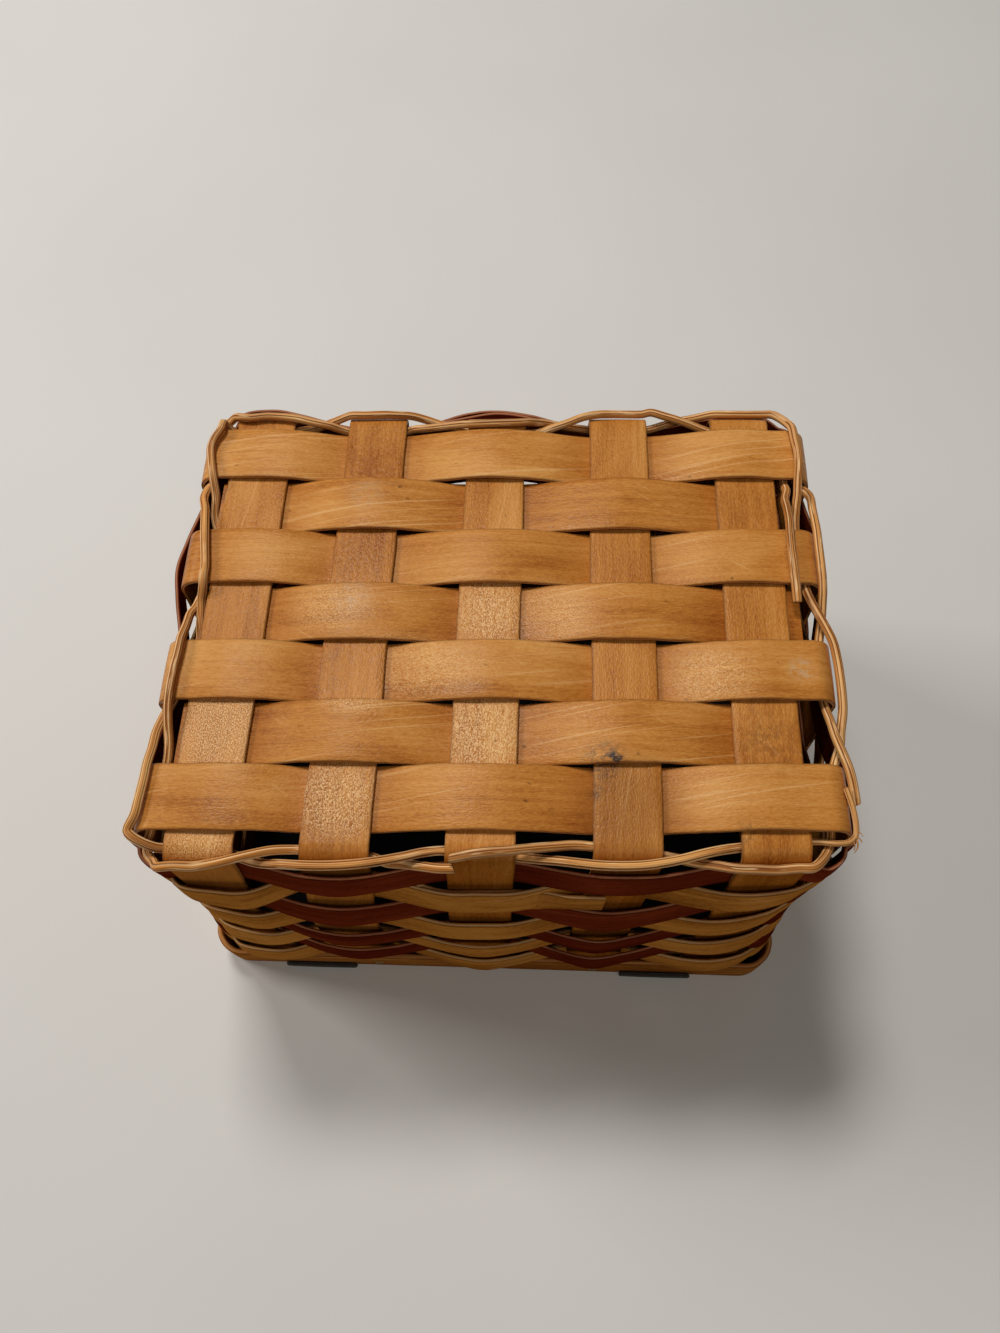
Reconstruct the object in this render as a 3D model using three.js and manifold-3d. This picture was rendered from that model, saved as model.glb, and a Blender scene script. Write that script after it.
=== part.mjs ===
// A small woven splint basket, stored upturned: it stands on its rim and its base is on top.
// Millimetres, +Z up. z = 0 is the plane that the rim stands on, x runs along the long side, -y is the front.
import * as THREE from "three";
import { mergeVertices } from "three/addons/utils/BufferGeometryUtils.js";
import Module from "manifold-3d";

const wasm = await Module();
wasm.setup();

// ---- driving dimensions -------------------------------------------------------------------------
const BASE_Z = 106.5; // middle of the cross stakes where they lie in the base
const HALF_X = 82.2; // middle of the left and right stakes at the base fold
const HALF_Y = 63.4; // middle of the front and back stakes at the base fold
const SPLINT_T = 1.0; // thickness of every flat splint
const GAP = 0.3; // air between crossing splints
const CROSS = SPLINT_T + GAP; // offset of a splint that passes over or under another
const STAKE_W = 16.0; // width of the cross stakes
const ROW_W = 15.9; // width of the long stakes and fillers
const ROW_PITCH = 16.22; // spacing of the seven base rows
const COLUMNS = [-66.5, -35.7, -2.7, 30.9, 64.5]; // x of the five cross stakes
const FOLD_R = 5.0; // bend radius of a stake at the base edge, on its middle
const STAKE_END_Z = 0.6; // where the stakes are cut off at the rim
const FILLER_PAST = [
  [1.2, 0.3],
  [0, 3.4],
  [1.2, 0.2],
]; // how far each filler runs past the outer cross stakes, left and right
const WEAVER_W = 9.8; // width of a side weaver
const WEAVER_PITCH = 11.0; // spacing of the weavers up the wall
const WEAVER_FIRST_Z = 13.6; // lower edge of the weaver next to the rim
const BULGE = 2.0; // how far a weaver stands out in the middle of a stake that it passes outside
const REED_R = 1.2; // radius of the twined reed
const RIM_H = 13.0; // height of the two rim hoops
const RIM_OUT_T = 1.6; // thickness of the outer hoop
const RIM_IN_T = 1.4; // thickness of the inner hoop
const RIM_CORNER_R = 8.0; // corner radius of the outer hoop
const BELLY_X = 1.7,
  BELLY_Y = 4.9; // how far the wall stands out at half height, at the sides and at the front and back
const FLARE_X = 1.15,
  FLARE_Y = 3.9; // how far it stands out at the rim
const CORNER_PULL = 0.1; // how strongly the weave is drawn in at the corners
const SKEW = 0.028; // hand-woven skew of the base rows
const BRAD_R = 0.6; // shank radius of a rim brad
const BRAD_HEAD_R = 1.5;
const BRAD_Z = 6.5; // height of the brads above the rim's edge
const HOLE_R = 0.9;
const STRAP_X = [-54.1, 50.6]; // middles of the two dark strap ends at the front of the rim
const STRAP_W = 21.9;
const STRAP_T = 1.1;
const STRAP_H = 4.2; // how far a strap end reaches up the outside of the rim

// ---- the shape of the wall ----------------------------------------------------------------------
const smooth = (t) => {
  const s = Math.min(1, Math.max(0, t));
  return s * s * (3 - 2 * s);
};
// Takes a point of the straight-sided box to its place on the bellied, rounded and slightly skewed basket.
function wall(x, y, z) {
  const k = 1 - z / BASE_Z;
  const rise = smooth(k / 0.5),
    fall = Math.min(1, Math.max(0, (k - 0.5) / 0.5));
  const outX = BELLY_X * rise - (BELLY_X - FLARE_X) * fall,
    outY = BELLY_Y * rise - (BELLY_Y - FLARE_Y) * fall;
  const pull = CORNER_PULL * smooth((k - 0.02) / 0.45) * (1 - 0.75 * smooth((k - 0.45) / 0.45));
  const u = Math.abs(x) / HALF_X,
    v = Math.abs(y) / HALF_Y;
  // on the front the uprights lean a little to the left between base and rim
  const lean = -4 * Math.exp(-(((x + 44) / 24) ** 2)) - 2 * Math.exp(-(((x - 31) / 18) ** 2));
  const there = smooth((-y - 30) / 30) * smooth((BASE_Z - z - 4) / 40) * smooth((z - 13) / 14);
  return [
    x * (1 + outX / HALF_X) * (1 - 0.25 * pull * v ** 4) + lean * there,
    y * (1 + outY / HALF_Y) * (1 - pull * u ** 4) + (SKEW * x * z) / BASE_Z,
    z,
  ];
}
// The stiff outer hoop keeps its own rounded rectangle.
const rimWall = (x, y, z) => [x, y + (SKEW * x * z) / BASE_Z, z];

function place(geometry, toWorld) {
  const p = geometry.getAttribute("position");
  for (let i = 0; i < p.count; i++)
    p.setXYZ(i, ...toWorld(p.getX(i), p.getY(i), p.getZ(i)));
  geometry.deleteAttribute("normal");
  geometry.deleteAttribute("uv");
  const merged = mergeVertices(geometry, 1e-4);
  merged.computeVertexNormals();
  return merged;
}

// Both sides of a line of points, half a thickness away, with mitred corners.
function offsetLine(points, d, closed) {
  const n = points.length;
  return points.map(([x, y], i) => {
    const a = points[closed ? (i + n - 1) % n : Math.max(0, i - 1)],
      b = points[closed ? (i + 1) % n : Math.min(n - 1, i + 1)];
    const unit = (p, q) => {
      const l = Math.hypot(q[0] - p[0], q[1] - p[1]) || 1;
      return [(q[0] - p[0]) / l, (q[1] - p[1]) / l];
    };
    let e = unit(a, [x, y]),
      f = unit([x, y], b);
    if (!closed && i === 0) e = f;
    if (!closed && i === n - 1) f = e;
    const m = [-(e[1] + f[1]), e[0] + f[0]];
    const l = Math.hypot(...m);
    const s = d / ((m[0] * -e[1] + m[1] * e[0]) / l);
    return [x + (m[0] / l) * s, y + (m[1] / l) * s];
  });
}
// A flat splint: a bar bent along a line in its own plane, SPLINT_T thick and as wide as it is.
function splint(line, width, toWorld, steps) {
  const n = line.length - 1;
  const faces = [
    offsetLine(line, -SPLINT_T / 2, false),
    offsetLine(line, SPLINT_T / 2, false),
  ];
  const g = new THREE.BoxGeometry(n, 2, width, n, 1, steps);
  return place(g, (x, y, z) => {
    const [p, q] = faces[y > 0 ? 1 : 0][Math.round(x + n / 2)];
    return toWorld(p, q, z + width / 2);
  });
}

// A hoop: a ring of rectangular section led along a closed line in plan, standing from z0 upwards.
const RING = [
  [2, 0],
  [2, 1],
  [1, 1],
  [1, 0],
  [2, 0],
];
function hoop(line, thickness, z0, height, toWorld) {
  const n = line.length;
  const outer = offsetLine(line, -thickness / 2, true),
    inner = offsetLine(line, thickness / 2, true);
  const g = new THREE.LatheGeometry(
    RING.map(([r, h]) => new THREE.Vector2(r, h)),
    n,
  );
  let k = 0;
  return place(g, () => {
    const [r, h] = RING[k % RING.length];
    const [x, y] = (r === 2 ? outer : inner)[Math.floor(k / RING.length) % n];
    k++;
    return toWorld(x, y, z0 + h * height);
  });
}

// ---- stakes and fillers -------------------------------------------------------------------------
// Up one wall, round the fold, over the base along the given line, round the other fold and down.
function stakeLine(half, baseLine, level) {
  const up = [],
    steps = 12,
    arc = 4;
  for (let i = 0; i < steps; i++)
    up.push([
      -half,
      STAKE_END_Z + ((level - FOLD_R - STAKE_END_Z) * i) / steps,
    ]);
  for (let i = 0; i <= arc; i++) {
    const t = (i / arc) * (Math.PI / 2);
    up.push([
      -half + FOLD_R - FOLD_R * Math.cos(t),
      level - FOLD_R + FOLD_R * Math.sin(t),
    ]);
  }
  const down = up.map(([s, z]) => [-s, z]).reverse();
  return [...up, ...baseLine, ...down];
}
// How a base row passes the five cross stakes: +1 over, -1 under.
const rowPass = (row) =>
  COLUMNS.map((_, c) => ((row + c) % 2 === 1 ? 1 : -1));
const HOLD = STAKE_W / 2 + 0.9; // a row keeps its level this far either side of a cross stake
function rowLine(row) {
  const line = [];
  rowPass(row).forEach((s, c) => {
    for (const d of [-HOLD, HOLD])
      line.push([COLUMNS[c] + d, BASE_Z + s * CROSS]);
  });
  return line;
}
const rowY = (row) => (4 - row) * ROW_PITCH;

const meshes = [];
function piece(name, geometry, material) {
  const m = new THREE.Mesh(geometry, material.clone());
  m.name = name;
  meshes.push(m);
  return m;
}

const natural = new THREE.MeshStandardMaterial({
  color: 0xb87f47,
  roughness: 0.5,
  metalness: 0,
});
const dark = new THREE.MeshStandardMaterial({
  color: 0x5a2417,
  roughness: 0.5,
  metalness: 0,
});
const reed = new THREE.MeshStandardMaterial({
  color: 0xb97e4c,
  roughness: 0.6,
  metalness: 0,
});
const leather = new THREE.MeshStandardMaterial({
  color: 0x17120c,
  roughness: 0.6,
  metalness: 0,
});
const brass = new THREE.MeshStandardMaterial({
  color: 0x8c7440,
  roughness: 0.4,
  metalness: 1,
});

const stakes = {};
COLUMNS.forEach((x0, c) => {
  const line = stakeLine(
    HALF_Y,
    [-0.5, 0, 0.5].map((t) => [t * HALF_Y, BASE_Z]),
    BASE_Z,
  );
  stakes["cross_stake_" + (c + 1)] = splint(
    line,
    STAKE_W,
    (p, q, r) => wall(x0 - STAKE_W / 2 + r, p, q),
    2,
  );
});
[1, 3, 5, 7].forEach((row, i) => {
  const inner = rowLine(row);
  const line = stakeLine(HALF_X, inner, BASE_Z + CROSS);
  stakes["long_stake_" + (i + 1)] = splint(
    line,
    ROW_W,
    (p, q, r) => wall(p, rowY(row) + ROW_W / 2 - r, q),
    2,
  );
});
[2, 4, 6].forEach((row, i) => {
  const line = rowLine(row);
  line[0][0] = COLUMNS[0] - STAKE_W / 2 - FILLER_PAST[i][0];
  line.at(-1)[0] = COLUMNS.at(-1) + STAKE_W / 2 + FILLER_PAST[i][1];
  piece(
    "base_filler_" + (i + 1),
    splint(line, ROW_W, (p, q, r) => wall(p, rowY(row) + ROW_W / 2 - r, q), 1),
    natural,
  );
});

// ---- the eighteen uprights, in order round the basket -------------------------------------------
// Each holds its place on the wall, the way out of the basket and the way on round it.
const uprights = [
  ...COLUMNS.map((x) => ({ at: [x, -HALF_Y], out: [0, -1], on: [1, 0] })),
  ...[7, 5, 3, 1].map((r) => ({
    at: [HALF_X, rowY(r)],
    out: [1, 0],
    on: [0, 1],
  })),
  ...[...COLUMNS]
    .reverse()
    .map((x) => ({ at: [x, HALF_Y], out: [0, 1], on: [-1, 0] })),
  ...[1, 3, 5, 7].map((r) => ({
    at: [-HALF_X, rowY(r)],
    out: [-1, 0],
    on: [0, -1],
  })),
];
const CORNER_AFTER = { 4: [1, -1], 8: [1, 1], 13: [-1, 1], 17: [-1, -1] };

// A weaver's plan: outside every second upright and inside the others.
function weaverLine(outsideFirst, corner) {
  const line = [];
  const hold = STAKE_W / 2 + 0.3,
    off = CROSS + 0.05;
  uprights.forEach(({ at, out, on }, i) => {
    const outside = (i % 2 === 0) === outsideFirst;
    const marks = outside
      ? [
          [-hold, off],
          [0, BULGE],
          [hold, off],
        ]
      : [
          [-hold, -off],
          [hold, -off],
        ];
    for (const [s, o] of marks)
      line.push([
        at[0] + on[0] * s + out[0] * o,
        at[1] + on[1] * s + out[1] * o,
      ]);
    if (i in CORNER_AFTER) {
      const [sx, sy] = CORNER_AFTER[i];
      const a0 = Math.atan2(out[1], out[0]);
      for (const t of [0.2, 0.5, 0.8]) {
        const a = a0 + (t * Math.PI) / 2;
        line.push([
          sx * (HALF_X - corner) + corner * Math.cos(a),
          sy * (HALF_Y - corner) + corner * Math.sin(a),
        ]);
      }
    }
  });
  return line;
}
for (let i = 0; i < 8; i++) {
  // counted from the base: dark and natural by turns
  const z0 = WEAVER_FIRST_Z + (7 - i) * WEAVER_PITCH;
  const isDark = i % 2 === 0;
  piece(
    (isDark ? "dark_weaver_" : "natural_weaver_") + (Math.floor(i / 2) + 1),
    hoop(weaverLine(!isDark, 6.0), SPLINT_T, z0, WEAVER_W, wall),
    isDark ? dark : natural,
  );
}

// ---- twined reeds at the base fold --------------------------------------------------------------
// Each reed's course, in points of the straight-sided box: it passes outside some uprights and inside the
// others, and crosses the other strand between them.
const REED_COURSES = {
  // starts and goes once round from the front middle upright, then runs out thin beside the spliced reed
  twining_reed_1: [
    [-9.5, -62.9, 107.2], [-4.8, -62.1, 107.7], [-0, -61.6, 108], [4.6, -61.3, 108.1],
    [9, -60.6, 107.3], [14, -59.9, 106.3], [18.6, -59.3, 105.3], [22.9, -59.3, 104.3],
    [27.5, -59.7, 103.8], [32.7, -60.2, 103.4], [37.7, -60.7, 103], [42.3, -61.6, 102.9],
    [46.9, -62.6, 103.1], [51.2, -63.5, 103.9], [55.5, -64.5, 104.9], [59.6, -64.7, 105.1],
    [64.5, -64.8, 105], [69.1, -64.5, 105.4], [72.4, -64.4, 105.4], [74.4, -62.9, 104.4],
    [76.7, -60.1, 102.7], [78, -57.2, 102], [78.6, -53, 102.2], [79.1, -47.9, 102.6],
    [79.7, -42.9, 103], [80.7, -39, 103.3], [82.3, -34.8, 103.7], [83, -30.5, 104],
    [83.8, -25.9, 104.8], [84, -21.8, 105.2], [83.9, -17.2, 105.7], [83.5, -12.6, 106.4],
    [82.7, -8.4, 107.3], [81.2, -4.3, 107.7], [79.6, -0.1, 107.6], [78.6, 3.7, 106.8],
    [78.1, 7.8, 105.6], [77.8, 12.2, 105.5], [77.5, 17.3, 105.5], [77.2, 22.4, 105.6],
    [77, 26.8, 106.1], [77.4, 31.2, 106.9], [77.9, 35.2, 108.3], [78.1, 39.2, 109.5],
    [78.6, 43.1, 109.9], [78.8, 47.9, 109.9], [78.4, 52.2, 109.9], [78, 56.2, 109.9],
    [77.2, 58.7, 108.8], [75.7, 61.2, 107.9], [73.7, 62.8, 107.5], [71.1, 63.4, 106.8],
    [67, 63.8, 106.3], [62, 64, 106.1], [57.4, 64.3, 105.7], [53, 63.9, 104.7],
    [48.4, 63.4, 103.9], [43.9, 62.3, 103.4], [39.6, 61.1, 102.9], [35.3, 60.8, 102.9],
    [30.1, 60.7, 103], [25, 60.7, 103.1], [20.3, 61, 103.5], [15.4, 61.4, 104],
    [11.7, 61.6, 104.9], [8.8, 60.7, 106.5], [5.9, 59.4, 108.3], [2.6, 58.9, 108.7],
    [-2.4, 58.7, 108.7], [-7.5, 58.4, 108.7], [-11.8, 58.5, 108.4], [-16.6, 58.7, 107.3],
    [-21.5, 58.9, 106.2], [-25.7, 59.4, 105], [-28.7, 59.2, 104], [-33.3, 59.1, 104],
    [-38.5, 58.9, 104], [-42.9, 58.7, 104.2], [-45.9, 58.7, 105.6], [-48.8, 58.9, 107.1],
    [-53, 59.5, 107.7], [-57.9, 60.5, 108.2], [-62.3, 61.1, 108.2], [-66.7, 61.3, 108.2],
    [-70.6, 60.7, 108.3], [-73.4, 61, 108.2], [-75.3, 61.7, 107.3], [-77.2, 61.7, 105.3],
    [-79.3, 61, 104.5], [-80.6, 59.7, 103.5], [-80.7, 58.1, 102.9], [-79.9, 55.3, 102.9],
    [-79.6, 50.5, 103.4], [-79.4, 45.4, 104], [-79.4, 41, 104.5], [-80.1, 37.5, 105.8],
    [-80, 34.3, 107], [-78.6, 30.2, 108.5], [-77.7, 26, 109.6], [-77, 21.9, 110],
    [-76.2, 16.9, 110], [-75.4, 11.9, 109.9], [-75.3, 8.5, 110], [-75.4, 6.4, 108.6],
    [-76, 4.1, 106.3], [-76, 1.2, 104.7], [-76.1, -1.8, 103.4], [-75.6, -5.1, 103],
    [-76, -9, 103.3], [-76.9, -14, 103.9], [-77.9, -19.1, 104.5], [-78.8, -23.9, 105.2],
    [-80, -28.5, 106.2], [-80.7, -32.7, 107], [-80.5, -37.2, 108.2], [-80.6, -41, 109.1],
    [-80.7, -45.4, 109.1], [-81, -50.1, 109], [-81.3, -53.4, 108.7], [-82.5, -55.5, 107.6],
    [-82.8, -56.7, 107.2], [-81.8, -57.9, 107.1], [-79, -59.3, 106], [-76.2, -60, 104.8],
    [-73.3, -59.8, 103.7], [-68.6, -60.1, 103.2], [-63.5, -60.5, 102.7], [-59.1, -61, 102.4],
    [-56, -62.2, 102.7], [-52.4, -63.2, 103.4], [-47.8, -63.7, 104.6], [-43.5, -64.2, 105.7],
    [-39.1, -64.3, 105.7], [-34.4, -64.2, 105.8], [-29.5, -63.9, 106.2], [-25, -63.2, 106],
    [-20.1, -62.2, 105.7], [-16, -61.1, 105.1], [-11.9, -60.3, 104], [-7.7, -60.3, 103.4],
    [-2.5, -60.5, 103.1], [2.5, -60.8, 102.7], [6.3, -61.4, 102.7], [10.6, -62.1, 103.6],
    [15.4, -62.8, 104.7], [20.3, -63.6, 105.6], [24.5, -64.1, 105.9], [29.4, -64.2, 105.8],
    [34.1, -64.1, 106], [38.6, -63.6, 106.4], [43.1, -62.7, 106.3], [47.6, -61.5, 106.1],
    [51.9, -60.4, 105.3], [56.2, -59.5, 104.2], [60.6, -59, 104], [65.7, -58.5, 103.9],
    [70.8, -58, 103.9], [74.7, -58, 104.2], [78.5, -58.6, 104.9], [81.3, -58.4, 105.1],
    [82.8, -57.1, 105.4], [83.1, -54.8, 105.9], [82.5, -50.8, 106.9], [81.1, -46.5, 108.1],
  ],
  // starts on top of the right side's third row and ends on the front middle upright
  twining_reed_2: [
    [74.3, 1.7, 109.7], [74.3, 6.9, 109.9], [74.3, 11.8, 110], [74.2, 16.9, 110],
    [74.3, 21.7, 110.1], [74.6, 26, 109.6], [74.7, 30.4, 108.6], [74.7, 34.2, 107.5],
    [75.7, 37.7, 106.4], [75.6, 40.8, 105], [75.8, 44.7, 104.4], [75.9, 49.4, 104],
    [75.3, 53, 103.7], [73.7, 55.6, 103.6], [71.1, 57, 103.6], [66.6, 57.8, 103.6],
    [61.6, 58.6, 103.8], [57, 59.3, 104.2], [52.7, 60.3, 105.3], [48.2, 61.5, 106.4],
    [43.8, 62.7, 106.9], [40, 63.8, 107.1], [37.8, 63.6, 106.6], [34.1, 63.7, 106.4],
    [29.4, 63.6, 106.6], [25, 63, 107.1], [21.1, 61.9, 107.3], [16.7, 60.2, 106.8],
    [12.7, 58.9, 106.3], [9.4, 58.1, 105.3], [5.9, 58.3, 104.5], [1.2, 58.8, 104.2],
    [-3.9, 59.3, 104.1], [-9, 59.7, 103.9], [-13.6, 60.4, 104.2], [-18.2, 61.2, 104.7],
    [-22.3, 62.1, 105.7], [-26.4, 62.5, 106.9], [-29.8, 62.5, 107.3], [-34.5, 62.5, 107.5],
    [-39.2, 62.2, 107.6], [-43.3, 62.2, 107.5], [-45.9, 61.9, 106.5], [-49.4, 61.3, 105.1],
    [-53.8, 60.2, 104.2], [-58.1, 59.6, 103.8], [-63.2, 59.2, 103.6], [-68.4, 58.7, 103.4],
    [-72.8, 58.4, 103.3], [-75.4, 58.5, 104.1], [-77.2, 58.9, 106.2], [-77.8, 58.7, 108.2],
    [-77.8, 57.7, 109.7], [-77.8, 55.7, 110], [-79.2, 52.5, 109.8], [-79.8, 49.5, 109.6],
    [-79.1, 45.3, 109.8], [-78.1, 41.2, 109.9], [-77.6, 38.7, 108.7], [-77.1, 35.4, 106.2],
    [-77.3, 31.8, 104.3], [-76.8, 29, 103.2], [-75.9, 26.6, 102.9], [-76.1, 22.4, 102.9],
    [-76.5, 17.3, 102.9], [-77, 12.2, 102.9], [-77.4, 7.2, 102.9], [-78.1, 3.5, 103.2],
    [-78.9, 0.8, 104.3], [-78.5, -2.3, 106.3], [-78, -5.8, 108.6], [-78, -8.8, 109.9],
    [-78.1, -12.9, 110], [-78.4, -17.7, 110], [-78.4, -22.6, 109.9], [-78.3, -26.9, 109.3],
    [-77.8, -31.3, 108.2], [-77.3, -35.3, 106.7], [-77.3, -39, 105.5], [-77.7, -43.9, 104.7],
    [-78.3, -49, 104], [-78.8, -54, 103.2], [-79.4, -58.7, 102.5], [-79, -61, 102.2],
    [-77.3, -62.6, 102.7], [-75.8, -64.3, 104.2], [-74.2, -64.5, 105.2], [-71.5, -64.4, 105.5],
    [-67.4, -64.5, 105.5], [-62.9, -64, 106.1], [-58.7, -63.2, 106.8], [-54.8, -62.1, 106.5],
    [-50.3, -60.9, 105.7], [-46.1, -60.3, 104.4], [-42, -60.2, 103.6], [-37, -60.5, 103.1],
    [-31.8, -60.8, 102.5], [-27.6, -61.3, 102.1], [-24, -62.6, 102.1], [-20.1, -63, 102.5],
    [-16, -63.7, 103.2], [-12.1, -64.5, 104.3], [-8.5, -64.7, 104.9],
  ],
  // the short spliced reed on the right side
  twining_reed_3: [
    [84, -49.5, 105.3], [83.4, -45.1, 106.6], [82.6, -41.6, 107.5], [81.8, -38, 107.2],
    [80.9, -33.5, 106.4], [80.3, -28.7, 105.5], [79.6, -24.2, 104.6], [79.4, -19.9, 104.3],
    [79.5, -14.8, 104.1], [79.7, -9.9, 104], [80.4, -5.9, 104.2], [81.2, -1.6, 104.7],
    [81.6, 2.5, 105.8], [81.7, 6.3, 107.6], [81.7, 9.5, 108.3], [81.8, 14.3, 108.3],
    [81.8, 19.3, 108.3], [81.9, 23.6, 108.2], [82.1, 27.9, 107.1], [82.2, 32.4, 106.1],
    [82.2, 36.4, 105.5], [81.2, 38.8, 104.8], [79.7, 40.7, 104.1], [79.2, 43.7, 104.2],
    [79.2, 48.7, 104.9],
  ],
};
const REED_THIN = { twining_reed_1: 0.75 }; // radius of an end that is shaved thin
const THIN_FROM = 30,
  THIN_TO = 16; // how far from that end it starts and ends to narrow
function reedAlong(points, endRadius) {
  const line = points.map((p) => new THREE.Vector3(...p));
  const n = line.length - 1;
  const left = line.map(() => 0); // length left to the end
  for (let i = n - 1; i >= 0; i--)
    left[i] = left[i + 1] + line[i].distanceTo(line[i + 1]);
  // frames that don't twist along the reed
  const frames = [];
  line.forEach((p, i) => {
    const t = line[Math.min(n, i + 1)]
      .clone()
      .sub(line[Math.max(0, i - 1)])
      .normalize();
    const side = i ? frames[i - 1].side.clone() : new THREE.Vector3(0, 0, 1);
    side.addScaledVector(t, -side.dot(t)).normalize();
    frames.push({ side, up: side.clone().cross(t) });
  });
  const g = new THREE.CylinderGeometry(1, 1, n, 6, n);
  return place(g, (x, y, z) => {
    const i = Math.round(n / 2 + y);
    const thin = smooth((THIN_FROM - left[i]) / (THIN_FROM - THIN_TO));
    const r = REED_R + (endRadius - REED_R) * thin;
    const p = line[i]
      .clone()
      .addScaledVector(frames[i].side, x * r)
      .addScaledVector(frames[i].up, z * r);
    return wall(p.x, p.y, p.z);
  });
}
for (const [name, points] of Object.entries(REED_COURSES))
  piece(name, reedAlong(points, REED_THIN[name] ?? REED_R), reed);

// ---- rim ----------------------------------------------------------------------------------------
function roundedRect(hx, hy, r, arc) {
  const line = [];
  [
    [1, -1, -Math.PI / 2],
    [1, 1, 0],
    [-1, 1, Math.PI / 2],
    [-1, -1, Math.PI],
  ].forEach(([sx, sy, a0]) => {
    for (let i = 0; i <= arc; i++) {
      const a = a0 + ((i / arc) * Math.PI) / 2;
      line.push([
        sx * (hx - r) + r * Math.cos(a),
        sy * (hy - r) + r * Math.sin(a),
      ]);
    }
  });
  return line;
}
const OUT_FACE = SPLINT_T / 2 + 0.45; // from a stake's middle to the outer hoop
const outX = HALF_X + FLARE_X + OUT_FACE + RIM_OUT_T / 2,
  outY = HALF_Y + FLARE_Y + OUT_FACE + RIM_OUT_T / 2;
// Extra points along the sides, as fractions, so that a hoop bends with the wall.
function fillSides(corners, arc, fractions) {
  const line = [];
  corners.forEach((p, i) => {
    line.push(p);
    if (i % (arc + 1) !== arc) return;
    const q = corners[(i + 1) % corners.length];
    for (const t of fractions)
      line.push([p[0] + (q[0] - p[0]) * t, p[1] + (q[1] - p[1]) * t]);
  });
  return line;
}
let outerHoop = hoop(
  fillSides(roundedRect(outX, outY, RIM_CORNER_R, 6), 6, [0.25, 0.5, 0.75]),
  RIM_OUT_T,
  0,
  RIM_H,
  rimWall,
);
const inset = SPLINT_T / 2 + 0.45 + RIM_IN_T / 2;
const innerLine = fillSides(
  roundedRect(HALF_X - inset, HALF_Y - inset, 6, 3),
  3,
  [0.12, 0.3, 0.5, 0.7, 0.88],
);
let innerHoop = hoop(innerLine, RIM_IN_T, 0, RIM_H, wall);

// Brads through the outer hoop, a stake and the inner hoop.
function solid(g) {
  return new wasm.Manifold(
    new wasm.Mesh({
      numProp: 3,
      vertProperties: new Float32Array(g.getAttribute("position").array),
      triVerts: new Uint32Array(g.index.array),
    }),
  );
}
function geometryOf(s) {
  const m = s.getMesh();
  const g = new THREE.BufferGeometry();
  const v = new Float32Array(m.numVert * 3);
  for (let i = 0; i < m.numVert; i++)
    v.set(m.vertProperties.subarray(i * m.numProp, i * m.numProp + 3), i * 3);
  g.setAttribute("position", new THREE.BufferAttribute(v, 3));
  g.setIndex(new THREE.BufferAttribute(new Uint32Array(m.triVerts), 1));
  g.computeVertexNormals();
  return g;
}
const brads = [];
for (const c of [1, 2, 3]) {
  brads.push({ at: [COLUMNS[c], -1], side: "y", stake: "cross_stake_" + (c + 1) });
  brads.push({ at: [COLUMNS[c], 1], side: "y", stake: "cross_stake_" + (c + 1) });
}
[3, 5].forEach((row) => {
  for (const s of [-1, 1])
    brads.push({
      at: [s, rowY(row)],
      side: "x",
      stake: "long_stake_" + (row + 1) / 2,
    });
});
let outerSolid = solid(outerHoop),
  innerSolid = solid(innerHoop);
const stakeSolids = {};
const LENGTH = 0.15 + RIM_OUT_T + 0.45 + SPLINT_T + 0.45 + RIM_IN_T + 1.0;
const BRAD_PROFILE = [
  [0, 0],
  [BRAD_HEAD_R * 0.75, 0],
  [BRAD_HEAD_R, 0.25],
  [BRAD_HEAD_R, 0.5],
  [BRAD_R, 0.5],
  [BRAD_R, 0.5 + LENGTH],
  [0, 0.5 + LENGTH],
].map(([x, y]) => new THREE.Vector2(x, y));
brads.forEach((b, n) => {
  const sign = b.side === "y" ? b.at[1] : b.at[0];
  const face =
    sign *
    ((b.side === "y" ? outY : outX) + RIM_OUT_T / 2 + 0.15 + 0.5);
  const turn =
    b.side === "y" ? (sign < 0 ? 0 : Math.PI) : sign > 0 ? Math.PI / 2 : -Math.PI / 2;
  const xy = b.side === "y" ? [b.at[0], face] : [face, b.at[1]];
  const cut = new THREE.CylinderGeometry(HOLE_R, HOLE_R, 30, 8);
  cut.rotateZ(turn);
  cut.translate(xy[0], xy[1], BRAD_Z);
  cut.deleteAttribute("normal");
  cut.deleteAttribute("uv");
  const drill = solid(mergeVertices(cut, 1e-4));
  outerSolid = outerSolid.subtract(drill);
  innerSolid = innerSolid.subtract(drill);
  stakeSolids[b.stake] = (
    stakeSolids[b.stake] || solid(stakes[b.stake])
  ).subtract(drill);
  const m = piece(
    "rim_brad_" + String(n + 1).padStart(2, "0"),
    new THREE.LatheGeometry(BRAD_PROFILE, 8),
    brass,
  );
  m.rotation.z = turn;
  m.position.set(xy[0], xy[1], BRAD_Z);
});
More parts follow.
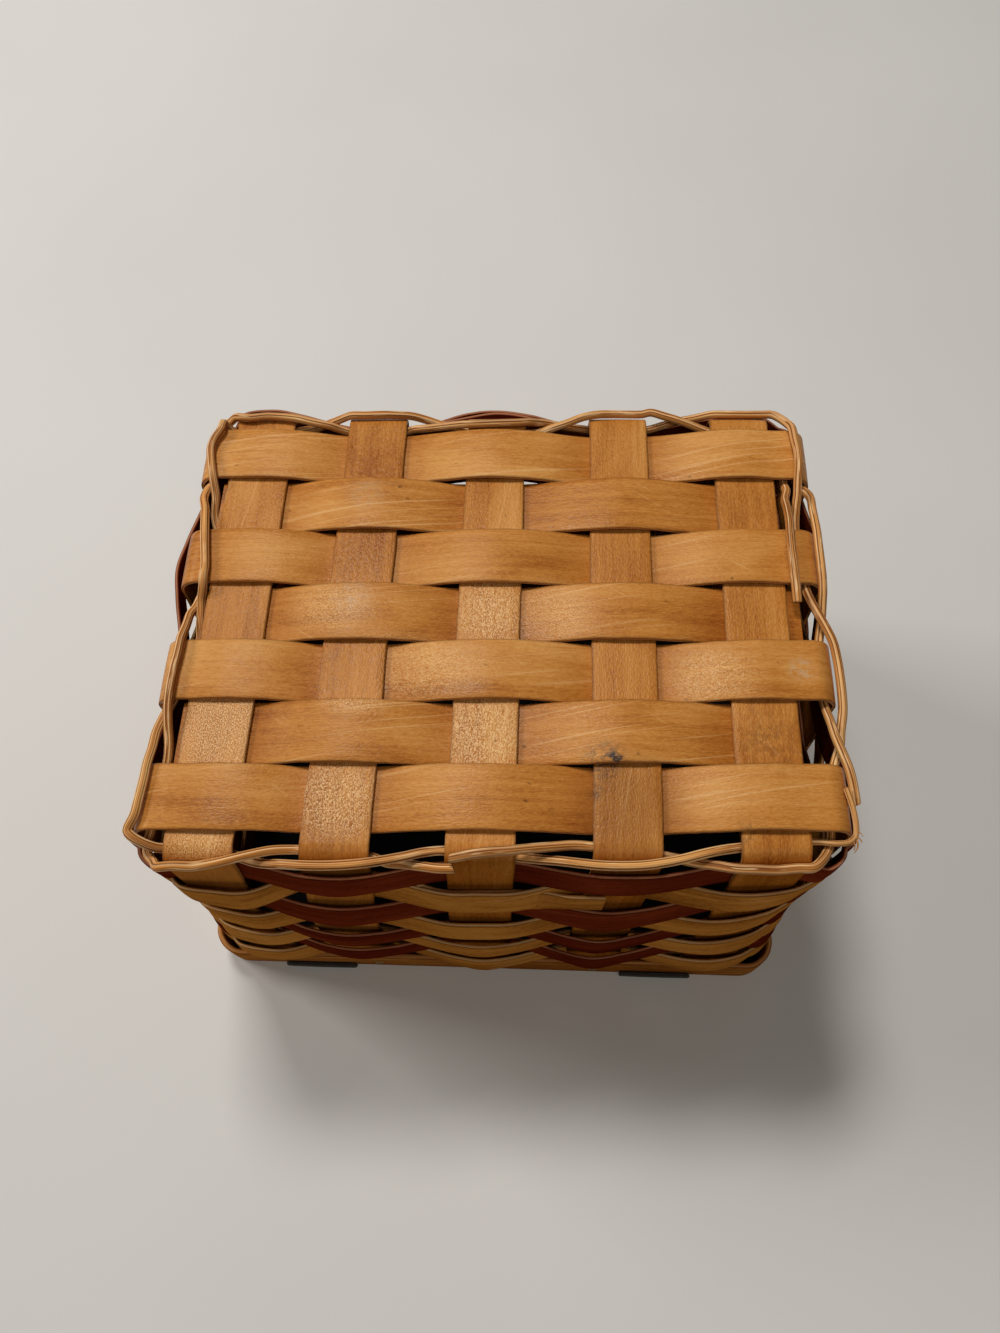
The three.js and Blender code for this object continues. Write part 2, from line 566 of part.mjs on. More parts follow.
// The two dark strap ends lie in shallow notches under the front of the outer hoop and fold up its outside.
STRAP_X.forEach((x0, n) => {
  const notch = new THREE.BoxGeometry(STRAP_W + 0.8, 12, 4);
  notch.translate(x0, -outY, STRAP_T + 0.5 - 2);
  notch.deleteAttribute("normal");
  notch.deleteAttribute("uv");
  outerSolid = outerSolid.subtract(solid(mergeVertices(notch, 1e-4)));
  const face = outY + RIM_OUT_T / 2 + GAP; // the strap's side towards the hoop
  const end = outY - RIM_OUT_T / 2 + 0.2;
  const low = 0.15;
  const outline = [
    [end, low],
    [face + STRAP_T - 0.6, low],
    [face + STRAP_T - 0.18, low + 0.18],
    [face + STRAP_T, low + 0.6],
    [face + STRAP_T, STRAP_H],
    [face, STRAP_H],
    [face, low + STRAP_T],
    [end, low + STRAP_T],
  ].map(([out, z]) => new THREE.Vector2(out, z));
  const g = new THREE.ExtrudeGeometry(new THREE.Shape(outline), {
    depth: STRAP_W,
    bevelEnabled: false,
    curveSegments: 1,
  });
  const m = piece(
    n === 0 ? "rim_strap_left" : "rim_strap_right",
    place(g, (x, y, z) => [STRAP_W / 2 - z, -x, y]),
    leather,
  );
  m.position.set(x0, 0, 0);
});
for (const [name, g] of Object.entries(stakes))
  piece(
    name,
    stakeSolids[name] ? geometryOf(stakeSolids[name]) : g,
    natural,
  );
piece("rim_outer_hoop", geometryOf(outerSolid), natural);
piece("rim_inner_hoop", geometryOf(innerSolid), natural);

const basket = new THREE.Group();
basket.name = "woven_splint_basket";
for (const m of meshes) basket.add(m);

export default basket;
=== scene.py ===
# A small woven splint basket that stands upturned on its rim, base on top: the looks.
import math
import random

import bpy
import numpy as np
from mathutils import Matrix, Vector


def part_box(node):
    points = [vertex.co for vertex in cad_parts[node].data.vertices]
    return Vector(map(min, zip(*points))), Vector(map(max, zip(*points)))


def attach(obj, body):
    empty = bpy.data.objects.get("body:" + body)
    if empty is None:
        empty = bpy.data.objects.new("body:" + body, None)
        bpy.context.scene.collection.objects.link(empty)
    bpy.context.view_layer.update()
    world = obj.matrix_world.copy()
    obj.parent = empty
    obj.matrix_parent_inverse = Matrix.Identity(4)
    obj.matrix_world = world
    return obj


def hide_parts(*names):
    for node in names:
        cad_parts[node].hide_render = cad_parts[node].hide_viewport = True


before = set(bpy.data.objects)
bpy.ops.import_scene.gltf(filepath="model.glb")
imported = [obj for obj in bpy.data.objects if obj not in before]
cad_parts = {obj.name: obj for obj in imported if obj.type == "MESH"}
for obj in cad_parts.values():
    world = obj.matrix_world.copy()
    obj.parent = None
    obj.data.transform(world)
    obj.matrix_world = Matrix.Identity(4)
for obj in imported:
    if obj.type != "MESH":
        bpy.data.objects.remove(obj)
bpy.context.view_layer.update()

MM = 0.001

# ---- dimensions of the basket, in millimetres, as in the CAD model ------------------------------
BASE_Z, HALF_X, HALF_Y = 106.5, 82.2, 63.4
SPLINT_T, GAP = 1.0, 0.3
CROSS = SPLINT_T + GAP
STAKE_W, ROW_W, ROW_PITCH = 16.0, 15.9, 16.22
COLUMNS = [-66.5, -35.7, -2.7, 30.9, 64.5]
FOLD_R, STAKE_END_Z = 5.0, 0.6
FILLER_PAST = [[1.2, 0.3], [0.0, 3.4], [1.2, 0.2]]
WEAVER_W, WEAVER_PITCH, WEAVER_FIRST_Z = 9.8, 11.0, 13.6
REED_R = 1.2
RIM_H, RIM_OUT_T, RIM_IN_T, RIM_CORNER_R = 13.0, 1.6, 1.4, 8.0
BELLY_X, BELLY_Y, FLARE_X, FLARE_Y = 1.7, 4.9, 1.15, 3.9
CORNER_PULL, SKEW = 0.1, 0.028
STRAP_X, STRAP_W, STRAP_T, STRAP_H = [-54.1, 50.6], 21.9, 1.1, 4.2


def smooth(t):
    s = np.clip(t, 0, 1)
    return s * s * (3 - 2 * s)


def wall(x, y, z):
    """From the straight-sided box to the bellied, rounded and slightly skewed basket."""
    x, y, z = np.broadcast_arrays(np.asarray(x, float), np.asarray(y, float), np.asarray(z, float))
    k = 1 - z / BASE_Z
    rise, fall = smooth(k / 0.5), np.clip((k - 0.5) / 0.5, 0, 1)
    out_x = BELLY_X * rise - (BELLY_X - FLARE_X) * fall
    out_y = BELLY_Y * rise - (BELLY_Y - FLARE_Y) * fall
    pull = CORNER_PULL * smooth((k - 0.02) / 0.45) * (1 - 0.75 * smooth((k - 0.45) / 0.45))
    u, v = np.abs(x) / HALF_X, np.abs(y) / HALF_Y
    lean = -4 * np.exp(-(((x + 44) / 24) ** 2)) - 2 * np.exp(-(((x - 31) / 18) ** 2))
    lean = lean * smooth((-y - 30) / 30) * smooth((BASE_Z - z - 4) / 40) * smooth((z - 13) / 14)
    return np.stack(
        [
            x * (1 + out_x / HALF_X) * (1 - 0.25 * pull * v**4) + lean,
            y * (1 + out_y / HALF_Y) * (1 - pull * u**4) + SKEW * x * z / BASE_Z,
            z,
        ],
        -1,
    )


def rim_wall(x, y, z):
    x, y, z = np.broadcast_arrays(np.asarray(x, float), np.asarray(y, float), np.asarray(z, float))
    return np.stack([x, y + SKEW * x * z / BASE_Z, z], -1)


def row_y(row):
    return (4 - row) * ROW_PITCH


# ---- camera -------------------------------------------------------------------------------------
def make_camera():
    pitch, yaw = math.radians(64.22), math.radians(-1.75)
    f = Vector((math.sin(yaw) * math.cos(pitch), math.cos(yaw) * math.cos(pitch), -math.sin(pitch)))
    r = Vector((math.cos(yaw), -math.sin(yaw), 0))
    u = r.cross(f)
    data = bpy.data.cameras.new("camera")
    data.sensor_width = 36.0
    data.lens = 36.0 * 1000.0 / 1333.0
    data.clip_start, data.clip_end = 0.01, 50
    cam = bpy.data.objects.new("camera", data)
    bpy.context.scene.collection.objects.link(cam)
    m = Matrix((r, u, -f)).transposed().to_4x4()
    m.translation = Vector((3.7, -121.6, 327.8)) * MM
    cam.matrix_world = m
    bpy.context.scene.camera = cam


make_camera()


# ---- small helpers ------------------------------------------------------------------------------
def wobble(seed, short, long, n=5):
    """A smooth random wave along a length in mm, about -1 to 1."""
    rng = random.Random(seed)
    terms = [(rng.uniform(0.6, 1.0), 2 * math.pi / rng.uniform(short, long), rng.uniform(0, 2 * math.pi)) for _ in range(n)]
    total = sum(t[0] for t in terms) * 0.62
    return lambda s: sum(a * np.sin(k * s + p) for a, k, p in terms) / total


def catmull(points, step, closed=False):
    """Points about step apart on the centripetal Catmull-Rom curve through the given ones, of any dimension."""
    pts = np.asarray(points, float)
    n = len(pts)
    out = []
    last = n if closed else n - 1
    for i in range(last):
        p1, p2 = pts[i], pts[(i + 1) % n]
        p0 = pts[i - 1] if (closed or i > 0) else 2 * p1 - p2
        p3 = pts[(i + 2) % n] if (closed or i + 2 < n) else 2 * p2 - p1
        d0, d1, d2 = (max(np.linalg.norm(b - a), 1e-6) ** 0.5 for a, b in ((p0, p1), (p1, p2), (p2, p3)))
        t1 = ((p1 - p0) / d0 - (p2 - p0) / (d0 + d1) + (p2 - p1) / d1) * d1
        t2 = ((p2 - p1) / d1 - (p3 - p1) / (d1 + d2) + (p3 - p2) / d2) * d1
        m = max(2, int(round(np.linalg.norm(p2 - p1) / step)))
        for t in np.arange(m) / m:
            out.append(
                (2 * t**3 - 3 * t**2 + 1) * p1 + (t**3 - 2 * t**2 + t) * t1 + (-2 * t**3 + 3 * t**2) * p2 + (t**3 - t**2) * t2
            )
    if not closed:
        out.append(pts[-1])
    return np.array(out)


def length_along(line, closed=False):
    d = np.linalg.norm(np.diff(line, axis=0), axis=1)
    return np.concatenate([[0], np.cumsum(d)])


def flat_section(width, thick, edge, across=8, arc=3):
    """(across, out) points round a flat section with rounded edges."""
    h, w = thick / 2, width / 2
    pts = [(a, h) for a in np.linspace(-w + edge, w - edge, across + 1)]
    for cx, cz, a0 in ((w - edge, h - edge, 90), (w - edge, -h + edge, 0)):
        for k in range(1, arc + 1):
            a = math.radians(a0 - 90 * k / arc)
            pts.append((cx + edge * math.cos(a), cz + edge * math.sin(a)))
    pts += [(a, -h) for a in np.linspace(w - edge, -w + edge, across + 1)[1:]]
    for cx, cz, a0 in ((-w + edge, -h + edge, 270), (-w + edge, h - edge, 180)):
        for k in range(1, arc + 1):
            a = math.radians(a0 - 90 * k / arc)
            pts.append((cx + edge * math.cos(a), cz + edge * math.sin(a)))
    pts = pts[:-1]
    return np.array(pts)


def sweep_faces(n, m, closed):
    idx = np.arange(n * m).reshape(n, m)
    a, b = (idx, np.roll(idx, -1, 0)) if closed else (idx[:-1], idx[1:])
    quads = np.stack([a, b, np.roll(b, -1, 1), np.roll(a, -1, 1)], -1).reshape(-1, 4).tolist()
    if not closed:
        quads += [idx[0].tolist(), idx[-1][::-1].tolist()]
    return quads


def make_piece(name, verts, faces, grain, part, material, nodes, sharp=38):
    """verts in mm. grain = (along, across, seed) and part = (distance in from the edge, distance to the end, tint), per vertex."""
    v = np.asarray(verts, float).reshape(-1, 3)
    tri = np.array([(f[0], f[j], f[j + 1]) for f in faces for j in range(1, len(f) - 1)])
    if np.einsum("ij,ij->", v[tri[:, 0]], np.cross(v[tri[:, 1]], v[tri[:, 2]])) < 0:
        faces = [list(reversed(f)) for f in faces]
    me = bpy.data.meshes.new(name)
    me.from_pydata((v * MM).tolist(), [], faces)
    for key, values in (("grain", grain), ("part", part)):
        at = me.attributes.new(key, "FLOAT_VECTOR", "POINT")
        at.data.foreach_set("vector", np.asarray(values, np.float32).reshape(-1))
    me.shade_smooth()
    me.set_sharp_from_angle(angle=math.radians(sharp))
    me.materials.append(material)
    me.update()
    ob = bpy.data.objects.new(name, me)
    bpy.context.scene.collection.objects.link(ob)
    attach(ob, "root")
    if nodes:
        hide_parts(*nodes)
    return ob


def ribbon(name, place, s, section, closed, seed, tint, material, nodes):
    """A flat strip: place(across, out) gives the rings of points, one for each station s."""
    n, m = len(s), len(section)
    A = np.broadcast_to(section[:, 0], (n, m)).copy()
    T = np.broadcast_to(section[:, 1], (n, m)).copy()
    w = np.abs(section[:, 0]).max()
    # edges that aren't cut quite straight, and a face that isn't quite flat
    side = np.sign(A) * (np.abs(A) / w) ** 3
    left, right = wobble(seed, 9, 60), wobble(seed + 1, 9, 60)
    if closed:
        left = right = lambda q: np.zeros_like(q)
    A += np.where(side > 0, right(s)[:, None], left(s)[:, None]) * 0.11 * np.abs(side)
    fine = random.Random(seed + 2)
    jag = np.array([[fine.uniform(-1, 1) for _ in range(2)] for _ in range(n)])
    A += np.where(side > 0, jag[:, :1], jag[:, 1:]) * 0.035 * np.abs(side)
    T += 0.10 * (1 - (A / w) ** 2)
    rings = place(A, T)
    along = np.broadcast_to(s[:, None], (n, m))
    # the grain goes on over the edges
    across = A + np.where(np.abs(section[:, 0]) > w - 0.6, np.sign(section[:, 0]) * (0.5 - section[:, 1]), 0)
    edge_in = w - np.abs(section[:, 0])
    edge_in = np.where(np.abs(section[:, 1]) < np.abs(section[:, 1]).max() * 0.72, -0.3, edge_in)
    end = np.minimum(s - s[0], s[-1] - s) if not closed else np.full(n, 99.0)
    grain = np.stack([along * MM, across * MM, np.full((n, m), seed * 0.37)], -1)
    part = np.stack([np.broadcast_to(edge_in, (n, m)), np.broadcast_to(end[:, None], (n, m)), np.full((n, m), tint)], -1)
    return make_piece(name, rings, sweep_faces(n, m, closed), grain, part, material, nodes)


# ---- materials ----------------------------------------------------------------------------------
class Shader:
    """A procedural material on one Principled shader."""

    def __init__(self, name):
        self.mat = bpy.data.materials.new(name)
        self.mat.use_nodes = True
        self.tree = self.mat.node_tree
        self.tree.nodes.clear()
        out = self.new("ShaderNodeOutputMaterial")
        self.bsdf = self.new("ShaderNodeBsdfPrincipled")
        self.tree.links.new(self.bsdf.outputs["BSDF"], out.inputs["Surface"])

    def new(self, kind):
        return self.tree.nodes.new(kind)

    def set(self, socket, value):
        if isinstance(value, bpy.types.NodeSocket):
            self.tree.links.new(value, socket)
        else:
            socket.default_value = value

    def attr(self, name):
        n = self.new("ShaderNodeAttribute")
        n.attribute_type = "GEOMETRY"
        n.attribute_name = name
        return n.outputs["Vector"]

    def place(self):
        return self.new("ShaderNodeTexCoord").outputs["Object"]

    def split(self, v):
        n = self.new("ShaderNodeSeparateXYZ")
        self.set(n.inputs[0], v)
        return n.outputs

    def join(self, x, y, z):
        n = self.new("ShaderNodeCombineXYZ")
        for i, v in enumerate((x, y, z)):
            self.set(n.inputs[i], v)
        return n.outputs[0]

    def vec(self, op, a, b):
        n = self.new("ShaderNodeVectorMath")
        n.operation = op
        self.set(n.inputs[0], a)
        self.set(n.inputs[1], b)
        return n.outputs["Value"] if op in ("DISTANCE", "LENGTH", "DOT_PRODUCT") else n.outputs["Vector"]

    def turn(self, v, degrees):
        n = self.new("ShaderNodeVectorRotate")
        n.rotation_type = "Z_AXIS"
        self.set(n.inputs["Vector"], v)
        n.inputs["Angle"].default_value = math.radians(degrees)
        return n.outputs[0]

    def math(self, op, a, b=0.5, clamp=False):
        n = self.new("ShaderNodeMath")
        n.operation = op
        n.use_clamp = clamp
        self.set(n.inputs[0], a)
        self.set(n.inputs[1], b)
        return n.outputs[0]

    def noise(self, v, detail=2.0, rough=0.5, distort=0.0, scale=1.0):
        n = self.new("ShaderNodeTexNoise")
        self.set(n.inputs["Vector"], v)
        n.inputs["Scale"].default_value = scale
        n.inputs["Detail"].default_value = detail
        n.inputs["Roughness"].default_value = rough
        n.inputs["Distortion"].default_value = distort
        return n.outputs["Fac"] if "Fac" in n.outputs else n.outputs[0]

    def range(self, v, a, b, c=0.0, d=1.0, kind="SMOOTHSTEP"):
        n = self.new("ShaderNodeMapRange")
        n.interpolation_type = kind
        self.set(n.inputs[0], v)
        for i, x in enumerate((a, b, c, d)):
            self.set(n.inputs[i + 1], x)
        return n.outputs[0]

    def ramp(self, v, stops):
        n = self.new("ShaderNodeValToRGB")
        self.set(n.inputs[0], v)
        e = n.color_ramp.elements
        while len(e) < len(stops):
            e.new(0.5)
        for el, (pos, colour) in zip(e, stops):
            el.position = pos
            el.color = (*colour, 1)
        return n.outputs[0]

    def mix(self, f, a, b, kind="MIX"):
        n = self.new("ShaderNodeMix")
        n.data_type = "RGBA"
        n.blend_type = kind
        self.set(n.inputs["Factor"], f)
        for key, v in (("A", a), ("B", b)):
            sock = [x for x in n.inputs if x.name == key and x.type == "RGBA"][0]
            self.set(sock, (*v, 1) if isinstance(v, tuple) and len(v) == 3 else v)
        return [x for x in n.outputs if x.type == "RGBA"][0]

    def bump(self, height, strength, distance):
        n = self.new("ShaderNodeBump")
        n.inputs["Strength"].default_value = strength
        n.inputs["Distance"].default_value = distance
        self.set(n.inputs["Height"], height)
        self.set(self.bsdf.inputs["Normal"], n.outputs[0])


def lin(r, g, b):
    """sRGB 0-255 to linear."""
    f = lambda c: c / 12.92 if c <= 0.04045 else ((c + 0.055) / 1.055) ** 2.4
    return tuple(f(x / 255) for x in (r, g, b))


def splint_wood(name, tones, pale, worn, dark_edge, rough, shine, flecks=False, marks=False, spark=0.3, front_left_painted_light=False):
    """Lacquered flat splint: three tones, fine fibres, cloudy figure, faint slanting rays, dirt and painted shade along
    the edges, a satin sparkling skin with painted sheen, and optional painted shade down the walls and painted light at
    the front left.
    """
    s = Shader(name)
    g, part = s.attr("grain"), s.split(s.attr("part"))
    fibre = s.noise(s.vec("MULTIPLY", g, (22, 800, 1)), 4, 0.62)
    fine = s.noise(s.vec("MULTIPLY", g, (90, 2600, 1)), 2, 0.6)
    cloud = s.noise(s.vec("MULTIPLY", g, (30, 90, 1)), 3, 0.55, 0.6)
    wide = s.noise(s.vec("MULTIPLY", g, (17, 30, 1)), 1, 0.5, 0.4)
    figure = s.noise(s.vec("MULTIPLY", s.turn(g, -9), (15, 1250, 1)), 1, 0.5, 0.3)
    dash = s.noise(s.vec("MULTIPLY", g, (560, 3000, 1)), 3, 0.65)
    sparkle = s.noise(s.vec("MULTIPLY", g, (1000, 2300, 1)), 1, 0.6)
    # tone
    t = s.math("ADD", part[2], s.math("MULTIPLY", s.math("SUBTRACT", cloud, 0.5), 0.95))
    t = s.math("ADD", t, s.math("MULTIPLY", s.math("SUBTRACT", wide, 0.5), 0.8))
    t = s.math("ADD", t, s.math("MULTIPLY", s.math("SUBTRACT", fibre, 0.5), 0.6))
    t = s.math("ADD", t, s.math("MULTIPLY", s.math("SUBTRACT", dash, 0.5), 0.4 if spark > 0.4 else 0.75))
    t = s.math("ADD", t, s.math("MULTIPLY", s.math("SUBTRACT", sparkle, 0.5), spark))
    colour = s.ramp(t, [(0.08, tones[0]), (0.5, tones[1]), (0.92, tones[2])])
    # darker pores along the grain
    pore = s.math("MULTIPLY", s.range(fine, 0.56, 0.72), s.range(wide, 0.3, 0.6, 0.4, 1.0))
    colour = s.mix(s.math("MULTIPLY", pore, 0.3), colour, tones[0])
    # thin pale rays that cross the grain at a slant
    ray = s.math("MULTIPLY", s.range(figure, 0.62, 0.71), s.range(wide, 0.46, 0.60))
    colour = s.mix(s.math("MULTIPLY", ray, 0.42), colour, pale)
    # faint scratches
    scratch_v = s.vec("MULTIPLY", s.turn(g, 34), (30, 1100, 1))
    scratch = s.math("MULTIPLY", s.range(s.noise(scratch_v, 1, 0.5), 0.69, 0.76), s.range(cloud, 0.5, 0.66))
    colour = s.mix(s.math("MULTIPLY", scratch, 0.4), colour, pale)
    # specks
    speck = s.range(s.noise(s.vec("MULTIPLY", g, (330, 520, 1)), 1, 0.5), 0.755, 0.86)
    colour = s.mix(s.math("MULTIPLY", speck, 0.6), colour, dark_edge)
    if flecks:
        fleck = s.range(s.noise(s.vec("MULTIPLY", s.turn(g, -14), (60, 1300, 1)), 1, 0.5), 0.72, 0.80)
        colour = s.mix(s.math("MULTIPLY", fleck, 0.5), colour, pale)
    if marks:
        at = s.place()
        blot = s.noise(at, 5, 0.72, 0.5, scale=520)
        for spot, radius, tone, most in marks:
            d = s.vec("DISTANCE", at, tuple(x * MM for x in spot))
            near = s.range(d, radius * MM, 0.0)
            m = s.math("MULTIPLY", s.math("MULTIPLY", near, s.range(blot, 0.40, 0.62)), most)
            colour = s.mix(m, colour, tone)
        for spot, radius, tone, most in SHADES:  # even, without blots
            near = s.range(s.vec("DISTANCE", at, tuple(x * MM for x in spot)), radius * MM, 0.3 * radius * MM)
            colour = s.mix(s.math("MULTIPLY", near, most), colour, tone)
        # painted highlight: grainy bright specks of sheen painted into the colour, in patches near and left of the
        # middle
        sheen_zone = 0.0
        for px, py, rx, ry in CROSS_PAINTED_SHEEN if spark > 0.4 else ROW_PAINTED_SHEEN:
            off = s.vec("MULTIPLY", s.vec("SUBTRACT", at, (px * MM, py * MM, 0.108)), (1000 / rx, 1000 / ry, 0.0))
            sheen_zone = s.math("MAXIMUM", s.range(s.vec("LENGTH", off, (0, 0, 0)), 1.0, 0.25), sheen_zone)
        sheen_grit = s.range(s.noise(s.vec("MULTIPLY", g, (2500, 3700, 1)), 1, 0.6), 0.43, 0.62)
        colour = s.mix(s.math("MULTIPLY", s.math("MULTIPLY", sheen_zone, sheen_grit), 0.66 if spark > 0.4 else 0.42), colour, lin(252, 212, 156))
        # painted shade: darker and browner down the folds towards the walls
        low = s.range(s.split(at)[2], 0.1078, 0.1045)
        colour = s.mix(s.math("MULTIPLY", low, 0.85), colour, (0.66, 0.46, 0.18), "MULTIPLY")
    if front_left_painted_light:
        # painted light: the uprights at the left of the front are painted paler, lifting the shade on them
        fx, fy, _ = s.split(s.place())
        near = s.math("MULTIPLY", s.range(fx, -0.016, -0.046), s.range(fy, -0.050, -0.058))
        colour = s.mix(s.math("MULTIPLY", near, 0.26), colour, lin(214, 148, 76))
    # darker just inside the edges in cloudy patches: dirt, and painted shade for the shadow lines along the splint
    # edges; raw wood on the cut edges
    edge_dirt_and_shade = s.math("MULTIPLY", s.range(part[0], 0.7, 0.05), s.range(cloud, 0.28, 0.56))
    colour = s.mix(s.math("MULTIPLY", edge_dirt_and_shade, 0.5), colour, dark_edge)
    raw = s.math("MULTIPLY", s.range(part[0], 0.02, -0.2), s.range(fine, 0.25, 0.62, 0.5, 1.0))
    colour = s.mix(raw, colour, worn)
    s.set(s.bsdf.inputs["Base Color"], colour)
    r = s.math("ADD", s.math("MULTIPLY", s.math("SUBTRACT", sparkle, 0.5), 0.3), rough)
    r = s.math("ADD", r, s.math("MULTIPLY", s.math("SUBTRACT", cloud, 0.5), 0.25), clamp=True)
    s.set(s.bsdf.inputs["Roughness"], r)
    s.bsdf.inputs["Specular IOR Level"].default_value = shine
    s.bsdf.inputs["Specular Tint"].default_value = (1.0, 0.87, 0.68, 1.0)
    h = s.math("ADD", s.math("MULTIPLY", sparkle, 0.5 + 2.2 * spark), s.math("MULTIPLY", fibre, 0.6))
    h = s.math("ADD", h, s.math("MULTIPLY", fine, 0.35))
    s.bump(h, 0.36, 0.00022)
    return s.mat


def reed_wood(name):
    s = Shader(name)
    g, part = s.attr("grain"), s.split(s.attr("part"))
    line = s.noise(s.vec("MULTIPLY", g, (26, 1500, 1)), 3, 0.6)
    fine = s.noise(s.vec("MULTIPLY", g, (140, 3400, 1)), 2, 0.6)
    cloud = s.noise(s.vec("MULTIPLY", g, (46, 60, 1)), 2, 0.5)
    t = s.math("ADD", s.math("MULTIPLY", s.math("SUBTRACT", line, 0.5), 2.0), s.math("ADD", part[2], s.math("MULTIPLY", s.math("SUBTRACT", cloud, 0.5), 0.9)))
    colour = s.ramp(t, [(0.1, lin(132, 74, 28)), (0.42, lin(194, 125, 58)), (0.70, lin(218, 153, 82)), (0.95, lin(240, 188, 118))])
    # painted highlight on the ridge crests and painted shade in the grooves between them
    colour = s.mix(s.math("MULTIPLY", s.range(part[0], -0.1, -0.6), 0.75), colour, lin(250, 208, 156))
    colour = s.mix(s.math("MULTIPLY", s.range(part[0], 0.1, 0.6), 0.85), colour, lin(88, 44, 16))
    # painted shade: thin dark lines along the grooves
    groove = s.range(s.noise(s.vec("MULTIPLY", s.vec("ADD", g, (3.0, 7.0, 0.0)), (20, 1700, 1)), 2, 0.6), 0.54, 0.66)
    colour = s.mix(s.math("MULTIPLY", groove, 0.55), colour, lin(96, 50, 20))
    # painted glints: thin bright streaks along the strand
    glint = s.range(s.noise(s.vec("MULTIPLY", s.vec("ADD", g, (11.0, 5.0, 0.0)), (120, 1900, 1)), 1, 0.6), 0.60, 0.70)
    colour = s.mix(s.math("MULTIPLY", glint, 0.6), colour, lin(252, 214, 160))
    ends = s.range(part[1], 0.45, 0.05)
    colour = s.mix(s.math("MULTIPLY", ends, s.range(fine, 0.3, 0.7, 0.3, 0.8)), colour, lin(150, 104, 62))
    s.set(s.bsdf.inputs["Base Color"], colour)
    s.set(s.bsdf.inputs["Roughness"], s.math("ADD", s.math("MULTIPLY", s.math("SUBTRACT", fine, 0.5), 0.4), 0.5, clamp=True))
    s.bsdf.inputs["Specular IOR Level"].default_value = 0.2
    s.bsdf.inputs["Specular Tint"].default_value = (1.0, 0.87, 0.68, 1.0)
    s.bump(s.math("ADD", s.math("MULTIPLY", line, 0.8), s.math("MULTIPLY", fine, 0.5)), 0.4, 0.0003)
    return s.mat


def leather(name):
    s = Shader(name)
    at = s.place()
    n = s.new("ShaderNodeTexVoronoi")
    n.feature = "DISTANCE_TO_EDGE"
    s.set(n.inputs["Vector"], at)
    n.inputs["Scale"].default_value = 1500
    cell = s.range(n.outputs["Distance"], 0.0, 0.25)
    cloud = s.noise(at, 3, 0.6, 0.0, scale=260)
    wear = s.range(s.split(s.attr("part"))[0], 0.9, 0.0)
    colour = s.ramp(cloud, [(0.3, lin(24, 19, 16)), (0.7, lin(42, 33, 27))])
    colour = s.mix(s.math("MULTIPLY", s.math("MULTIPLY", wear, cloud), 0.7), colour, lin(84, 66, 52))
    s.set(s.bsdf.inputs["Base Color"], colour)
    s.set(s.bsdf.inputs["Roughness"], s.range(cell, 0, 1, 0.72, 0.5, "LINEAR"))
    s.bump(s.math("ADD", s.math("MULTIPLY", cell, 0.7), s.math("MULTIPLY", cloud, 0.5)), 0.5, 0.0002)
    return s.mat


def brass(name):
    s = Shader(name)
    at = s.place()
    cloud = s.noise(at, 3, 0.6, 0.0, scale=900)
    s.set(s.bsdf.inputs["Base Color"], s.ramp(cloud, [(0.3, lin(96, 74, 40)), (0.55, lin(168, 136, 74)), (0.8, lin(196, 166, 104))]))
    s.bsdf.inputs["Metallic"].default_value = 1.0
    s.set(s.bsdf.inputs["Roughness"], s.range(cloud, 0.3, 0.7, 0.5, 0.28))
    s.bump(s.noise(at, 2, 0.5, 0.0, scale=3500), 0.2, 0.0001)
    return s.mat


PALE = lin(232, 184, 126)
GREY = lin(70, 64, 58)
SHADES = [((31.0, -50.0, 107.2), 17.0, lin(116, 70, 34), 0.36)]
# painted highlight: where the sheen specks are painted, as (centre x, centre y, reach in x, reach in y) in mm
CROSS_PAINTED_SHEEN = [(-2.7, -33.0, 17.0, 17.0), (-36.0, -50.0, 15.0, 14.0), (-2.7, 0.0, 13.0, 15.0), (-66.0, -62.0, 12.0, 7.0), (-66.0, -32.0, 18.0, 22.0)]
ROW_PAINTED_SHEEN = [(-22.0, -16.0, 26.0, 12.0), (12.0, 0.5, 15.0, 12.0), (-42.0, 0.0, 14.0, 11.0), (52.0, -16.0, 16.0, 11.0), (-34.0, -26.0, 12.0, 5.0)]
MARKS = [
    ((25.4, -39.2, 108.2), 7.0, GREY, 0.95),
    ((28.4, -38.6, 108.2), 2.8, lin(44, 47, 52), 2.6),
    ((33.4, -37.4, 108.2), 1.1, lin(84, 40, 16), 2.4),
    ((23.6, -46.5, 107.2), 3.2, GREY, 0.85),
    ((29.8, -44.0, 107.2), 5.0, lin(92, 60, 34), 0.3),
    ((25.4, -41.0, 107.2), 4.0, lin(84, 58, 38), 0.6),
    ((-37.5, 2.6, 108.6), 7.0, lin(184, 158, 134), 0.55),
    ((-36.6, 33.8, 108.6), 7.0, lin(176, 146, 110), 0.45),
    ((64.5, -32.0, 107.2), 13.0, lin(140, 86, 38), 0.7),
    ((58.5, -56.2, 108.6), 5.0, lin(90, 60, 36), 0.7),
    ((74.0, -14.4, 108.6), 5.0, lin(204, 176, 142), 0.7),
]
HONEY = (lin(148, 82, 26), lin(194, 127, 56), lin(217, 157, 86))
RAW = lin(218, 176, 126)
natural_mat = splint_wood("natural_splint", HONEY, PALE, lin(208, 154, 100), lin(70, 34, 12), 0.36, 0.18, marks=MARKS)
cross_mat = splint_wood("cross_splint", HONEY, PALE, lin(208, 154, 100), lin(70, 34, 12), 0.34, 0.18, marks=MARKS, spark=0.5)
